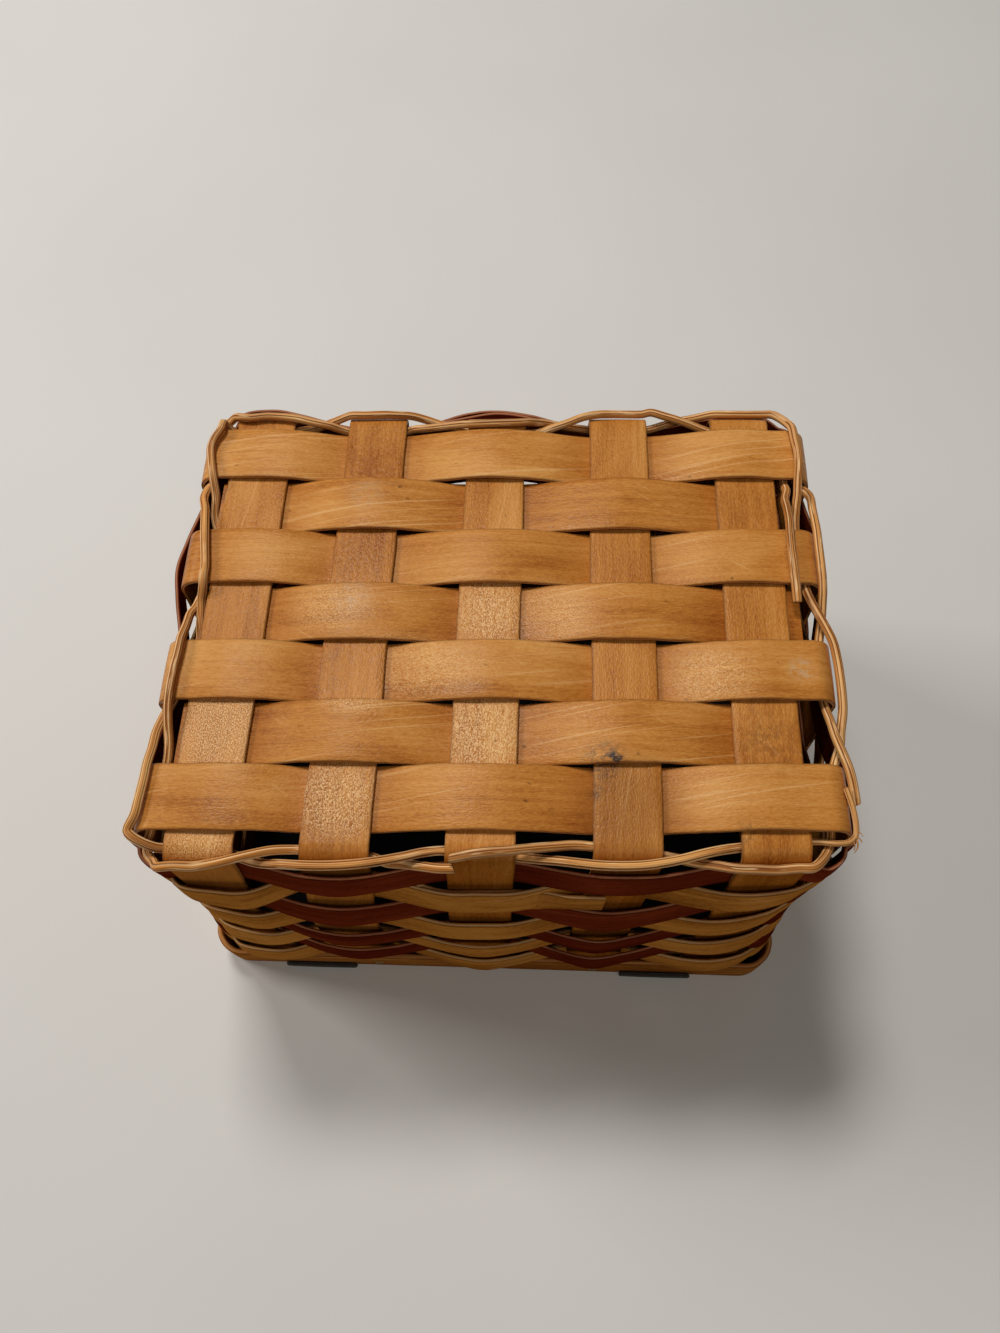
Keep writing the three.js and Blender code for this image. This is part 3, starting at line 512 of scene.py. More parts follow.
# painted shade: a darker, browner copy of the splint wood, for the stakes down the walls
wall_shade_mat = splint_wood("wall_splint_painted_shade", (lin(118, 62, 15), lin(160, 94, 30), lin(184, 118, 48)), lin(186, 122, 54), lin(190, 134, 78), lin(60, 28, 10), 0.7, 0.0, front_left_painted_light=True)
weaver_mat = splint_wood("natural_weaver_splint", (lin(130, 76, 24), lin(186, 122, 51), lin(208, 148, 74)), PALE, RAW, lin(70, 34, 12), 0.62, 0.0)
dark_mat = splint_wood("dark_splint", (lin(66, 17, 7), lin(98, 34, 14), lin(124, 52, 26)), lin(140, 72, 42), lin(176, 118, 86), lin(30, 9, 5), 0.55, 0.0, flecks=True)
rim_mat = splint_wood("rim_splint", (lin(116, 64, 20), lin(160, 98, 40), lin(184, 124, 60)), PALE, lin(186, 130, 78), lin(70, 34, 12), 0.6, 0.0)
reed_mat = reed_wood("reed")
leather_mat = leather("strap_leather")
brass_mat = brass("brass")

# ---- stakes and base fillers --------------------------------------------------------------------
STAKE_SECTION = flat_section(STAKE_W - 0.1, SPLINT_T, 0.28, 10)
ROW_SECTION = flat_section(ROW_W + 0.12, SPLINT_T, 0.28, 10)


def stake_line(half, base, level, r=FOLD_R):
    """Up one wall, round the fold, over the base, round the other fold and down."""
    up = [(-half, z) for z in np.linspace(STAKE_END_Z, level - r, 60)]
    for t in np.linspace(0, math.pi / 2, 13)[1:]:
        up.append((-half + r - r * math.cos(t), level - r + r * math.sin(t)))
    return np.array(up + list(base) + [(-p, q) for p, q in reversed(up)])


def splint(name, line, section, to_world, seed, tint, material, nodes):
    d = np.gradient(line, axis=0)
    d /= np.linalg.norm(d, axis=1)[:, None]
    nx, nz = -d[:, 1:], d[:, :1]
    s = length_along(line)
    drift = wobble(seed + 7, 60, 160)(s)[:, None] * 0.10

    def place(A, T):
        return to_world(line[:, :1] + nx * T, line[:, 1:] + nz * T, A + drift)

    ob = ribbon(name, place, s, section, False, seed, tint, material, nodes)
    # down the walls the stakes take the wall material: painted shade, browner and darker, and dull
    ob.data.materials.append(wall_shade_mat)
    for face in ob.data.polygons:
        if face.center.z < 0.1050:
            face.material_index = 1
    return ob


CROSS_FOLD = 4.2
TINTS = {1: 0.46, 2: 0.45, 3: 0.43, 4: 0.44, 5: 0.48}
for c, x0 in enumerate(COLUMNS):
    sag = wobble(40 + c, 30, 70)
    ps = np.linspace(-HALF_Y + CROSS_FOLD, HALF_Y - CROSS_FOLD, 90)[1:-1]
    base = [(p, BASE_Z + 0.06 * float(sag(p))) for p in ps]
    splint(
        f"stake_cross_{c + 1}",
        stake_line(HALF_Y, base, BASE_Z, CROSS_FOLD),
        STAKE_SECTION,
        lambda p, q, a, x0=x0: wall(x0 + a, p, q),
        100 + 10 * c,
        TINTS[c + 1],
        cross_mat,
        [f"cross_stake_{c + 1}"],
    )

HOLD = 8.7


def row_marks(row, rng):
    marks = []
    for c, x0 in enumerate(COLUMNS):
        if (row + c) % 2 == 1:
            marks += [(x0 - HOLD, BASE_Z + CROSS), (x0, BASE_Z + CROSS + rng.uniform(0.45, 0.75)), (x0 + HOLD, BASE_Z + CROSS)]
        else:
            marks += [(x0 - HOLD, BASE_Z - CROSS), (x0, BASE_Z - CROSS - 0.15), (x0 + HOLD, BASE_Z - CROSS)]
    return marks


ROW_TINTS = {1: 0.55, 2: 0.44, 3: 0.56, 4: 0.44, 5: 0.56, 6: 0.42, 7: 0.54}
for row in range(1, 8):
    rng = random.Random(row)
    marks = row_marks(row, rng)
    y0 = row_y(row)
    if row % 2:
        level = BASE_Z + CROSS
        fold = (HALF_X - FOLD_R, level)
        base = catmull([(-fold[0], level), *marks, fold], 1.6)[1:-1]
        line = stake_line(HALF_X, [tuple(p) for p in base], level)
        name, node = f"stake_long_{(row + 1) // 2}", f"long_stake_{(row + 1) // 2}"
    else:
        i = row // 2 - 1
        marks[0] = (COLUMNS[0] - STAKE_W / 2 - FILLER_PAST[i][0], BASE_Z - CROSS)
        marks[-1] = (COLUMNS[-1] + STAKE_W / 2 + FILLER_PAST[i][1], BASE_Z - CROSS)
        line = catmull(marks, 1.6)
        name, node = f"filler_{i + 1}", f"base_filler_{i + 1}"
    splint(
        name,
        line,
        ROW_SECTION,
        lambda p, q, a, y0=y0: wall(p, y0 + a, q),
        200 + 10 * row,
        ROW_TINTS[row],
        natural_mat,
        [node],
    )

# ---- uprights, in order round the basket --------------------------------------------------------
uprights = [((x, -HALF_Y), (0, -1), (1, 0)) for x in COLUMNS]
uprights += [((HALF_X, row_y(r)), (1, 0), (0, 1)) for r in (7, 5, 3, 1)]
uprights += [((x, HALF_Y), (0, 1), (-1, 0)) for x in COLUMNS[::-1]]
uprights += [((-HALF_X, row_y(r)), (-1, 0), (0, -1)) for r in (1, 3, 5, 7)]
CORNER_AFTER = {4: (1, -1), 8: (1, 1), 13: (-1, 1), 17: (-1, -1)}

# ---- side weavers -------------------------------------------------------------------------------
WEAVER_SECTION = flat_section(WEAVER_W + 0.6, SPLINT_T, 0.25, 8)
LAST_SECTION = flat_section(WEAVER_W + 0.1, SPLINT_T, 0.25, 8)  # the one that sits on the rim
LAP = 1.12  # from layer to layer where a weaver's two ends lie on each other


def weaver(i):
    """Weaver i, counted from the base: one strip led once round, its end lapped over its start."""
    rng = random.Random(500 + i)
    dark = i % 2 == 0
    out_at = (lambda u: u % 2 == 1) if dark else (lambda u: u % 2 == 0)
    z0 = WEAVER_FIRST_Z + (7 - i) * WEAVER_PITCH
    hold, off = 8.4, CROSS + 0.05
    lo, hi = [], []

    def mark(u, s, o_lo, o_hi, lift=0.0):
        (ax, ay), (ox, oy), (nx, ny) = uprights[u]
        lo.append((ax + nx * s + ox * o_lo, ay + ny * s + oy * o_lo, lift))
        hi.append((ax + nx * s + ox * o_hi, ay + ny * s + oy * o_hi, lift))

    def corner(u, layer):
        sx, sy = CORNER_AFTER[u]
        ox, oy = uprights[u][1]
        a0 = math.atan2(oy, ox)
        for t in (0.1, 0.3, 0.5, 0.7, 0.9):
            a = a0 + t * math.pi / 2
            p = (sx * (HALF_X - 6) + (6 + layer) * math.cos(a), sy * (HALF_Y - 6) + (6 + layer) * math.sin(a), 0.0)
            lo.append(p)
            hi.append(p)

    def passing(u, outside, layer, span=(-1, 0, 1), drop=0.0):
        left, mid, right, lift = EXTRA.get((i, u), (0.0, 0.0, 0.0, 0.0))
        lift -= drop
        mid += rng.uniform(-0.2, 0.2)
        for k in span:
            s = k * hold
            if outside:
                if k == 0:
                    mark(u, s, 2.4 + layer + mid, 2.0 + layer + mid * 0.8, lift)
                else:
                    more = right if k > 0 else left
                    mark(u, s, off + 0.35 + layer + more, off + 0.15 + layer + more * 0.8, lift)
            else:
                mark(u, s, -off - (0.15 if k == 0 else -0.45) + layer, -off - (0.15 if k == 0 else 0) + layer, lift)

    first = START[i]
    order = []
    for n in range(20):
        u = (first + n) % 18
        layer = 0.0
        if i == 1:  # its end comes out from under its start, in front
            layer = (LAP if out_at(u) else 0.0) if n < 2 else (0.0 if out_at(u) else -LAP) if n >= 18 else 0.0
        elif n < 2:
            layer = 0.0 if out_at(u) else -LAP
        elif n >= 18:
            layer = LAP if out_at(u) else 0.0
        order.append((u, out_at(u), layer))
    for n, (u, outside, layer) in enumerate(order):
        passing(u, outside, layer, (0, 1) if n == 0 else (-1, 0, 1), 1.8 if i == 1 and n == 19 else 0.0)
        if u in CORNER_AFTER:
            corner(u, (LAP / 2 if layer > 0 else -LAP / 2) if layer else 0.0)
    u = (first + 20) % 18
    if i == 1:
        mark(u, -hold - 9.0, off + 0.25, off - 0.1, -0.9)
        mark(u, -hold - 3.0, off + 0.35, off - 0.1, -2.1)
        mark(u, -2.4, off + 0.4, off + 0.1, -2.3)
    else:
        o = off if out_at(u) else -off
        mark(u, -hold, o + 0.1, o)
        mark(u, 2.0, o + 0.1, o)
    both = catmull(np.concatenate([np.array(lo), np.array(hi)], 1), 1.5)
    low, high, lift = both[:, :2], both[:, 3:5], both[:, 2:3]
    mid = (low + high) / 2
    d = np.gradient(mid, axis=0)
    d /= np.linalg.norm(d, axis=1)[:, None]
    nx, ny = d[:, 1:], -d[:, :1]  # out of the basket
    s = length_along(mid)
    tip = wobble(620 + i, 40, 120)(s)[:, None] * 0.25

    # the loose end is trimmed narrower
    trim = 1 - (0.4 if i == 1 else 0.0) * smooth((s - s[-1] + 20) / 12)[:, None]

    def place(A, T):
        A = A * trim
        t = A / WEAVER_W + 0.5
        x = low[:, :1] * (1 - t) + high[:, :1] * t + nx * T
        y = low[:, 1:] * (1 - t) + high[:, 1:] * t + ny * T
        return wall(x, y, z0 + WEAVER_W / 2 + A + tip + lift)

    kind = "dark" if dark else "natural"
    k = i // 2 + 1
    ribbon(
        f"weaver_{kind}_{k}",
        place,
        s,
        LAST_SECTION if i == 7 else WEAVER_SECTION,
        False,
        300 + 10 * i,
        0.5 + rng.uniform(-0.1, 0.1),
        dark_mat if dark else weaver_mat,
        [f"{kind}_weaver_{k}"],
    )


START = {0: 10, 1: 1, 2: 6, 3: 15, 4: 12, 5: 7, 6: 14, 7: 9}
# places where a weaver bellies out further than the others or sits higher: before, on and after the upright, and upwards
EXTRA = {
    (0, 1): (0.4, 0.6, 0.4, 0.0),
    (0, 3): (0.2, 0.1, 0.1, 0.0),
    (0, 5): (0.4, 0.8, 0.4, 0.0),
    (0, 7): (0.5, 1.2, 0.5, 0.6),
    (0, 8): (0.0, 0.0, 0.0, 1.2),
    (0, 9): (0.7, 1.6, 0.7, 1.6),
    (0, 10): (0.0, 0.0, 0.0, 0.7),
    (0, 11): (0.9, 1.8, 0.9, 2.0),
    (0, 12): (0.0, 0.0, 0.0, 1.5),
    (0, 13): (1.0, 2.8, 1.2, 2.6),
    (0, 14): (0.0, 0.0, 0.0, 1.0),
    (0, 15): (0.7, 1.7, 0.7, 0.8),
    (0, 17): (0.5, 1.2, 0.5, 0.0),
    (1, 0): (0.4, 0.7, 1.4, -0.4),
    (1, 2): (-0.2, -0.7, -0.3, 0.6),
    (1, 4): (0.7, 0.4, 0.0, -0.3),
    (2, 1): (0.3, 0.6, 0.3, 0.0),
    (2, 3): (0.6, 1.1, 0.6, 0.0),
    (3, 0): (0.3, 0.5, 0.9, 0.0),
    (3, 2): (0.8, 0.5, 0.5, 0.0),
    (3, 4): (0.6, 0.3, 0.0, 0.0),
    (4, 1): (0.5, 0.9, 0.5, 0.0),
    (4, 3): (0.7, 1.3, 0.7, 0.0),
    (5, 0): (0.4, 0.8, 1.0, 0.0),
    (5, 2): (1.0, 1.2, 0.9, -0.3),
    (5, 4): (0.8, 0.6, 0.2, 0.0),
    (6, 1): (0.7, 1.3, 0.7, -0.5),
    (6, 3): (1.2, 2.1, 1.2, -0.7),
    (7, 0): (0.6, 1.2, 1.2, 0.0),
    (7, 2): (1.3, 1.7, 1.2, 0.0),
    (7, 4): (1.0, 1.1, 0.4, 0.0),
}
for i in range(8):
    weaver(i)

# ---- twined reeds -------------------------------------------------------------------------------
# each reed's course in points of the straight-sided box, as in the CAD model
COURSES = {
    "reed_first_strand": [
        (-9.5, -62.9, 107.2), (-4.8, -62.1, 107.7), (-0, -61.6, 108), (4.6, -61.3, 108.1), (9, -60.6, 107.3),
        (14, -59.9, 106.3), (18.6, -59.3, 105.3), (22.9, -59.3, 104.3), (27.5, -59.7, 103.8), (32.7, -60.2, 103.4),
        (37.7, -60.7, 103), (42.3, -61.6, 102.9), (46.9, -62.6, 103.1), (51.2, -63.5, 103.9), (55.5, -64.5, 104.9),
        (59.6, -64.7, 105.1), (64.5, -64.8, 105), (69.1, -64.5, 105.4), (72.4, -64.4, 105.4), (74.4, -62.9, 104.4),
        (76.7, -60.1, 102.7), (78, -57.2, 102), (78.6, -53, 102.2), (79.1, -47.9, 102.6), (79.7, -42.9, 103),
        (80.7, -39, 103.3), (82.3, -34.8, 103.7), (83, -30.5, 104), (83.8, -25.9, 104.8), (84, -21.8, 105.2),
        (83.9, -17.2, 105.7), (83.5, -12.6, 106.4), (82.7, -8.4, 107.3), (81.2, -4.3, 107.7), (79.6, -0.1, 107.6),
        (78.6, 3.7, 106.8), (78.1, 7.8, 105.6), (77.8, 12.2, 105.5), (77.5, 17.3, 105.5), (77.2, 22.4, 105.6),
        (77, 26.8, 106.1), (77.4, 31.2, 106.9), (77.9, 35.2, 108.3), (78.1, 39.2, 109.5), (78.6, 43.1, 109.9),
        (78.8, 47.9, 109.9), (78.4, 52.2, 109.9), (78, 56.2, 109.9), (77.2, 58.7, 108.8), (75.7, 61.2, 107.9),
        (73.7, 62.8, 107.5), (71.1, 63.4, 106.8), (67, 63.8, 106.3), (62, 64, 106.1), (57.4, 64.3, 105.7),
        (53, 63.9, 104.7), (48.4, 63.4, 103.9), (43.9, 62.3, 103.4), (39.6, 61.1, 102.9), (35.3, 60.8, 102.9),
        (30.1, 60.7, 103), (25, 60.7, 103.1), (20.3, 61, 103.5), (15.4, 61.4, 104), (11.7, 61.6, 104.9),
        (8.8, 60.7, 106.5), (5.9, 59.4, 108.3), (2.6, 58.9, 108.7), (-2.4, 58.7, 108.7), (-7.5, 58.4, 108.7),
        (-11.8, 58.5, 108.4), (-16.6, 58.7, 107.3), (-21.5, 58.9, 106.2), (-25.7, 59.4, 105), (-28.7, 59.2, 104),
        (-33.3, 59.1, 104), (-38.5, 58.9, 104), (-42.9, 58.7, 104.2), (-45.9, 58.7, 105.6), (-48.8, 58.9, 107.1),
        (-53, 59.5, 107.7), (-57.9, 60.5, 108.2), (-62.3, 61.1, 108.2), (-66.7, 61.3, 108.2), (-70.6, 60.7, 108.3),
        (-73.4, 61, 108.2), (-75.3, 61.7, 107.3), (-77.2, 61.7, 105.3), (-79.3, 61, 104.5), (-80.6, 59.7, 103.5),
        (-80.7, 58.1, 102.9), (-79.9, 55.3, 102.9), (-79.6, 50.5, 103.4), (-79.4, 45.4, 104), (-79.4, 41, 104.5),
        (-80.1, 37.5, 105.8), (-80, 34.3, 107), (-78.6, 30.2, 108.5), (-77.7, 26, 109.6), (-77, 21.9, 110),
        (-76.2, 16.9, 110), (-75.4, 11.9, 109.9), (-75.3, 8.5, 110), (-75.4, 6.4, 108.6), (-76, 4.1, 106.3),
        (-76, 1.2, 104.7), (-76.1, -1.8, 103.4), (-75.6, -5.1, 103), (-76, -9, 103.3), (-76.9, -14, 103.9),
        (-77.9, -19.1, 104.5), (-78.8, -23.9, 105.2), (-80, -28.5, 106.2), (-80.7, -32.7, 107), (-80.5, -37.2, 108.2),
        (-80.6, -41, 109.1), (-80.7, -45.4, 109.1), (-81, -50.1, 109), (-81.3, -53.4, 108.7), (-82.5, -55.5, 107.6),
        (-82.8, -56.7, 107.2), (-81.8, -57.9, 107.1), (-79, -59.3, 106), (-76.2, -60, 104.8), (-73.3, -59.8, 103.7),
        (-68.6, -60.1, 103.2), (-63.5, -60.5, 102.7), (-59.1, -61, 102.4), (-56, -62.2, 102.7), (-52.4, -63.2, 103.4),
        (-47.8, -63.7, 104.6), (-43.5, -64.2, 105.7), (-39.1, -64.3, 105.7), (-34.4, -64.2, 105.8),
        (-29.5, -63.9, 106.2), (-25, -63.2, 106), (-20.1, -62.2, 105.7), (-16, -61.1, 105.1), (-11.9, -60.3, 104),
        (-7.7, -60.3, 103.4), (-2.5, -60.5, 103.1), (2.5, -60.8, 102.7), (6.3, -61.4, 102.7), (10.6, -62.1, 103.6),
        (15.4, -62.8, 104.7), (20.3, -63.6, 105.6), (24.5, -64.1, 105.9), (29.4, -64.2, 105.8), (34.1, -64.1, 106),
        (38.6, -63.6, 106.4), (43.1, -62.7, 106.3), (47.6, -61.5, 106.1), (51.9, -60.4, 105.3), (56.2, -59.5, 104.2),
        (60.6, -59, 104), (65.7, -58.5, 103.9), (70.8, -58, 103.9), (74.7, -58, 104.2), (78.5, -58.6, 104.9),
        (81.3, -58.4, 105.1), (82.8, -57.1, 105.4), (83.1, -54.8, 105.9), (82.5, -50.8, 106.9), (81.1, -46.5, 108.1),
    ],
    "reed_second_strand": [
        (74.3, 1.7, 109.7), (74.3, 6.9, 109.9), (74.3, 11.8, 110), (74.2, 16.9, 110), (74.3, 21.7, 110.1),
        (74.6, 26, 109.6), (74.7, 30.4, 108.6), (74.7, 34.2, 107.5), (75.7, 37.7, 106.4), (75.6, 40.8, 105),
        (75.8, 44.7, 104.4), (75.9, 49.4, 104), (75.3, 53, 103.7), (73.7, 55.6, 103.6), (71.1, 57, 103.6),
        (66.6, 57.8, 103.6), (61.6, 58.6, 103.8), (57, 59.3, 104.2), (52.7, 60.3, 105.3), (48.2, 61.5, 106.4),
        (43.8, 62.7, 106.9), (40, 63.8, 107.1), (37.8, 63.6, 106.6), (34.1, 63.7, 106.4), (29.4, 63.6, 106.6),
        (25, 63, 107.1), (21.1, 61.9, 107.3), (16.7, 60.2, 106.8), (12.7, 58.9, 106.3), (9.4, 58.1, 105.3),
        (5.9, 58.3, 104.5), (1.2, 58.8, 104.2), (-3.9, 59.3, 104.1), (-9, 59.7, 103.9), (-13.6, 60.4, 104.2),
        (-18.2, 61.2, 104.7), (-22.3, 62.1, 105.7), (-26.4, 62.5, 106.9), (-29.8, 62.5, 107.3), (-34.5, 62.5, 107.5),
        (-39.2, 62.2, 107.6), (-43.3, 62.2, 107.5), (-45.9, 61.9, 106.5), (-49.4, 61.3, 105.1), (-53.8, 60.2, 104.2),
        (-58.1, 59.6, 103.8), (-63.2, 59.2, 103.6), (-68.4, 58.7, 103.4), (-72.8, 58.4, 103.3), (-75.4, 58.5, 104.1),
        (-77.2, 58.9, 106.2), (-77.8, 58.7, 108.2), (-77.8, 57.7, 109.7), (-77.8, 55.7, 110), (-79.2, 52.5, 109.8),
        (-79.8, 49.5, 109.6), (-79.1, 45.3, 109.8), (-78.1, 41.2, 109.9), (-77.6, 38.7, 108.7), (-77.1, 35.4, 106.2),
        (-77.3, 31.8, 104.3), (-76.8, 29, 103.2), (-75.9, 26.6, 102.9), (-76.1, 22.4, 102.9), (-76.5, 17.3, 102.9),
        (-77, 12.2, 102.9), (-77.4, 7.2, 102.9), (-78.1, 3.5, 103.2), (-78.9, 0.8, 104.3), (-78.5, -2.3, 106.3),
        (-78, -5.8, 108.6), (-78, -8.8, 109.9), (-78.1, -12.9, 110), (-78.4, -17.7, 110), (-78.4, -22.6, 109.9),
        (-78.3, -26.9, 109.3), (-77.8, -31.3, 108.2), (-77.3, -35.3, 106.7), (-77.3, -39, 105.5),
        (-77.7, -43.9, 104.7), (-78.3, -49, 104), (-78.8, -54, 103.2), (-79.4, -58.7, 102.5), (-79, -61, 102.2),
        (-77.3, -62.6, 102.7), (-75.8, -64.3, 104.2), (-74.2, -64.5, 105.2), (-71.5, -64.4, 105.5),
        (-67.4, -64.5, 105.5), (-62.9, -64, 106.1), (-58.7, -63.2, 106.8), (-54.8, -62.1, 106.5),
        (-50.3, -60.9, 105.7), (-46.1, -60.3, 104.4), (-42, -60.2, 103.6), (-37, -60.5, 103.1), (-31.8, -60.8, 102.5),
        (-27.6, -61.3, 102.1), (-24, -62.6, 102.1), (-20.1, -63, 102.5), (-16, -63.7, 103.2), (-12.1, -64.5, 104.3),
        (-8.5, -64.7, 104.9),
    ],
    "reed_splice": [
        (84, -49.5, 105.3), (83.4, -45.1, 106.6), (82.6, -41.6, 107.5), (81.8, -38, 107.2), (80.9, -33.5, 106.4),
        (80.3, -28.7, 105.5), (79.6, -24.2, 104.6), (79.4, -19.9, 104.3), (79.5, -14.8, 104.1), (79.7, -9.9, 104),
        (80.4, -5.9, 104.2), (81.2, -1.6, 104.7), (81.6, 2.5, 105.8), (81.7, 6.3, 107.6), (81.7, 9.5, 108.3),
        (81.8, 14.3, 108.3), (81.8, 19.3, 108.3), (81.9, 23.6, 108.2), (82.1, 27.9, 107.1), (82.2, 32.4, 106.1),
        (82.2, 36.4, 105.5), (81.2, 38.8, 104.8), (79.7, 40.7, 104.1), (79.2, 43.7, 104.2), (79.2, 48.7, 104.9),
    ],
}


def thread(line, radius, seed, ridges, m):
    """Rings round a line: a round strand of the given radius at each point, with lengthwise ridges."""
    s = length_along(line)
    n = len(line)
    d = np.gradient(line, axis=0)
    d /= np.linalg.norm(d, axis=1)[:, None]
    side = np.zeros_like(d)
    v = np.cross(d[0], (0.3, 0.1, 1.0))
    for i in range(n):
        v = v - d[i] * np.dot(v, d[i])
        v /= np.linalg.norm(v)
        side[i] = v
    up = np.cross(d, side)
    th = np.linspace(0, 2 * math.pi, m, endpoint=False)
    rng = random.Random(seed)
    twist = 0.5 * wobble(seed, 60, 200)(s)[:, None]
    ridge = np.zeros((n, m))
    for count, share in ((5, 0.34), (8, 0.3), (13, 0.36)):
        ridge += share * np.cos(count * th[None, :] + twist * rng.uniform(0.5, 1.5) + rng.uniform(0, 6.3))
    r = np.asarray(radius).reshape(-1, 1) * (1 - ridges + ridges * ridge)
    rings = line[:, None, :] + r[..., None] * (np.cos(th)[None, :, None] * side[:, None, :] + np.sin(th)[None, :, None] * up[:, None, :])
    for e, way in ((0, -1), (-1, 1)):  # the cut ends are eased and slanting
        lean = rng.uniform(0, 2 * math.pi)
        reach = 0.33 * r[e].max()
        rings[e] += (way * d[e])[None, :] * (reach * np.cos(th - lean))[:, None] + np.array([rng.uniform(-0.06, 0.06) for _ in range(m)])[:, None] * d[e]
        rings[e] = line[e] + (rings[e] - line[e]) * 0.94
    return s, th, ridge, rings


def reed(name, seed, tint, node, end_radius=REED_R, fray=()):
    box = catmull(COURSES[name], 0.85)
    line = wall(box[:, 0], box[:, 1], box[:, 2])
    s = length_along(line)
    left = s[-1] - s
    radius = REED_R - 0.02 + (end_radius - REED_R) * smooth((30 - left) / 14)
    radius = radius * (1 + 0.03 * wobble(seed + 1, 14, 50)(s))
    verts, faces, grain, part = [], [], [], []
    strands = [(line, radius, seed, 0.07, 44)]
    for k, (points, r) in enumerate(fray):  # fibres that have come loose
        pts = catmull(points, 0.5)
        strands.append((pts, r * np.linspace(1.0, 0.35, len(pts)), seed + 20 + k, 0.0, 8))
    first = 0
    for ln, rad, sd, depth, m in strands:
        q, th, ridge, rings = thread(ln, rad, sd, depth, m)
        n = len(ln)
        end = np.minimum(q, q[-1] - q)
        girth = np.abs(th - math.pi)[None, :] * REED_R
        verts.append(rings.reshape(-1, 3))
        faces += [[i + first for i in f] for f in sweep_faces(n, m, False)]
        grain.append(np.stack([np.broadcast_to(q[:, None], (n, m)) * MM, np.broadcast_to(girth, (n, m)) * MM, np.full((n, m), sd * 0.37)], -1).reshape(-1, 3))
        # the ridge depth, which the reed shader uses for painted highlight on crests and painted shade in grooves
        groove = -ridge if depth else np.zeros((n, m))
        part.append(np.stack([groove, np.broadcast_to(end[:, None], (n, m)), np.full((n, m), tint)], -1).reshape(-1, 3))
        first += n * m
    make_piece(name, np.concatenate(verts), faces, np.concatenate(grain), np.concatenate(part), reed_mat, [node], sharp=50)


FRAY = [
    (wall(*np.array([(82.6, -57.2, 105.4), (83.2, -58.4, 105.2), (83.4, -59.4, 104.2), (83.0, -60.2, 103.0)]).T), 0.3),
    (wall(*np.array([(82.6, -57.4, 105.6), (83.5, -57.8, 106.0), (84.1, -58.6, 105.6)]).T), 0.24),
    (wall(*np.array([(82.0, -58.0, 105.4), (82.4, -59.2, 105.6), (82.3, -60.2, 104.8)]).T), 0.22),
    (wall(*np.array([(83.0, -56.2, 105.8), (83.8, -56.6, 106.3), (84.3, -57.4, 106.2)]).T), 0.17),
]
reed("reed_first_strand", 701, 0.5, "twining_reed_1", 0.75, FRAY)
reed("reed_second_strand", 702, 0.46, "twining_reed_2")
reed("reed_splice", 703, 0.54, "twining_reed_3")


# ---- rim ----------------------------------------------------------------------------------------
def rounded_rect(hx, hy, r, step, extra=()):
    """A closed plan line from the middle of the back, anticlockwise, with stations about step apart; extra adds x stations on the front."""
    pts = []
    xs = sorted(set(np.linspace(-hx + r, hx - r, int(2 * (hx - r) / step)).tolist() + list(extra)))
    ys = np.linspace(-hy + r, hy - r, int(2 * (hy - r) / step))
    arc = np.linspace(0, math.pi / 2, 15)[1:-1]
    pts += [(x, hy) for x in np.linspace(0, -hx + r, int((hx - r) / step))]
    pts += [(-hx + r - r * math.sin(a), hy - r + r * math.cos(a)) for a in arc]
    pts += [(-hx, y) for y in ys[::-1]]
    pts += [(-hx + r - r * math.cos(a), -hy + r - r * math.sin(a)) for a in arc]
    pts += [(x, -hy) for x in xs]
    pts += [(hx - r + r * math.sin(a), -hy + r - r * math.cos(a)) for a in arc]
    pts += [(hx, y) for y in ys]
    pts += [(hx - r + r * math.cos(a), hy - r + r * math.sin(a)) for a in arc]
    pts += [(x, hy) for x in np.linspace(hx - r, 0, int((hx - r) / step))]
    return np.array(pts)


OUT_X = HALF_X + FLARE_X + SPLINT_T / 2 + 0.45 + RIM_OUT_T / 2
OUT_Y = HALF_Y + FLARE_Y + SPLINT_T / 2 + 0.45 + RIM_OUT_T / 2


def rim(name, hx, hy, r, thick, to_world, node, seed, notches, lap):
    extra = [x + d for x in notches for h in (STRAP_W / 2 + 0.4,) for d in (-h - 0.05, -h + 0.05, h - 0.05, h + 0.05)]
    line = rounded_rect(hx, hy, r, 2.0, extra)
    # the hoop's end laps over its start in the middle of the back
    over = line[(line[:, 1] > hy - 0.01) & (line[:, 0] < 0) & (line[:, 0] > -lap)]
    line = np.concatenate([line, over])
    s = length_along(line)
    d = np.gradient(line, axis=0)
    d /= np.linalg.norm(d, axis=1)[:, None]
    nx, ny = d[:, 1:], -d[:, :1]
    total = s[-1]
    # both layers are shaved thin where they lie on each other
    start, end = smooth((lap + 6 - s) / 6), smooth((s - (total - lap - 6)) / 6)
    thin = 1 - 0.5 * np.maximum(start, end)
    shift = (thick * 0.26 * (end - start))[:, None]

    def place(A, T):
        x = line[:, :1] + nx * (T * thin[:, None] + shift)
        y = line[:, 1:] + ny * (T * thin[:, None] + shift)
        z = RIM_H / 2 + A
        for x0 in notches:
            inside = (np.abs(line[:, :1] - x0) < STRAP_W / 2 + 0.4) & (line[:, 1:] < 0)
            z = np.where(inside, STRAP_T + 0.5 + z * (1 - (STRAP_T + 0.5) / RIM_H), z)
        return to_world(x, y, np.clip(z, 0.0, None))

    section = flat_section(RIM_H, thick, 0.4, 8)
    ribbon(name, place, s, section, False, seed, 0.5, rim_mat, [node])


rim("rim_hoop_outer", OUT_X, OUT_Y, RIM_CORNER_R, RIM_OUT_T, rim_wall, "rim_outer_hoop", 801, STRAP_X, 26)
INSET = SPLINT_T / 2 + 0.45 + RIM_IN_T / 2
rim("rim_hoop_inner", HALF_X - INSET, HALF_Y - INSET, 6.0, RIM_IN_T, wall, "rim_inner_hoop", 802, [], 22)


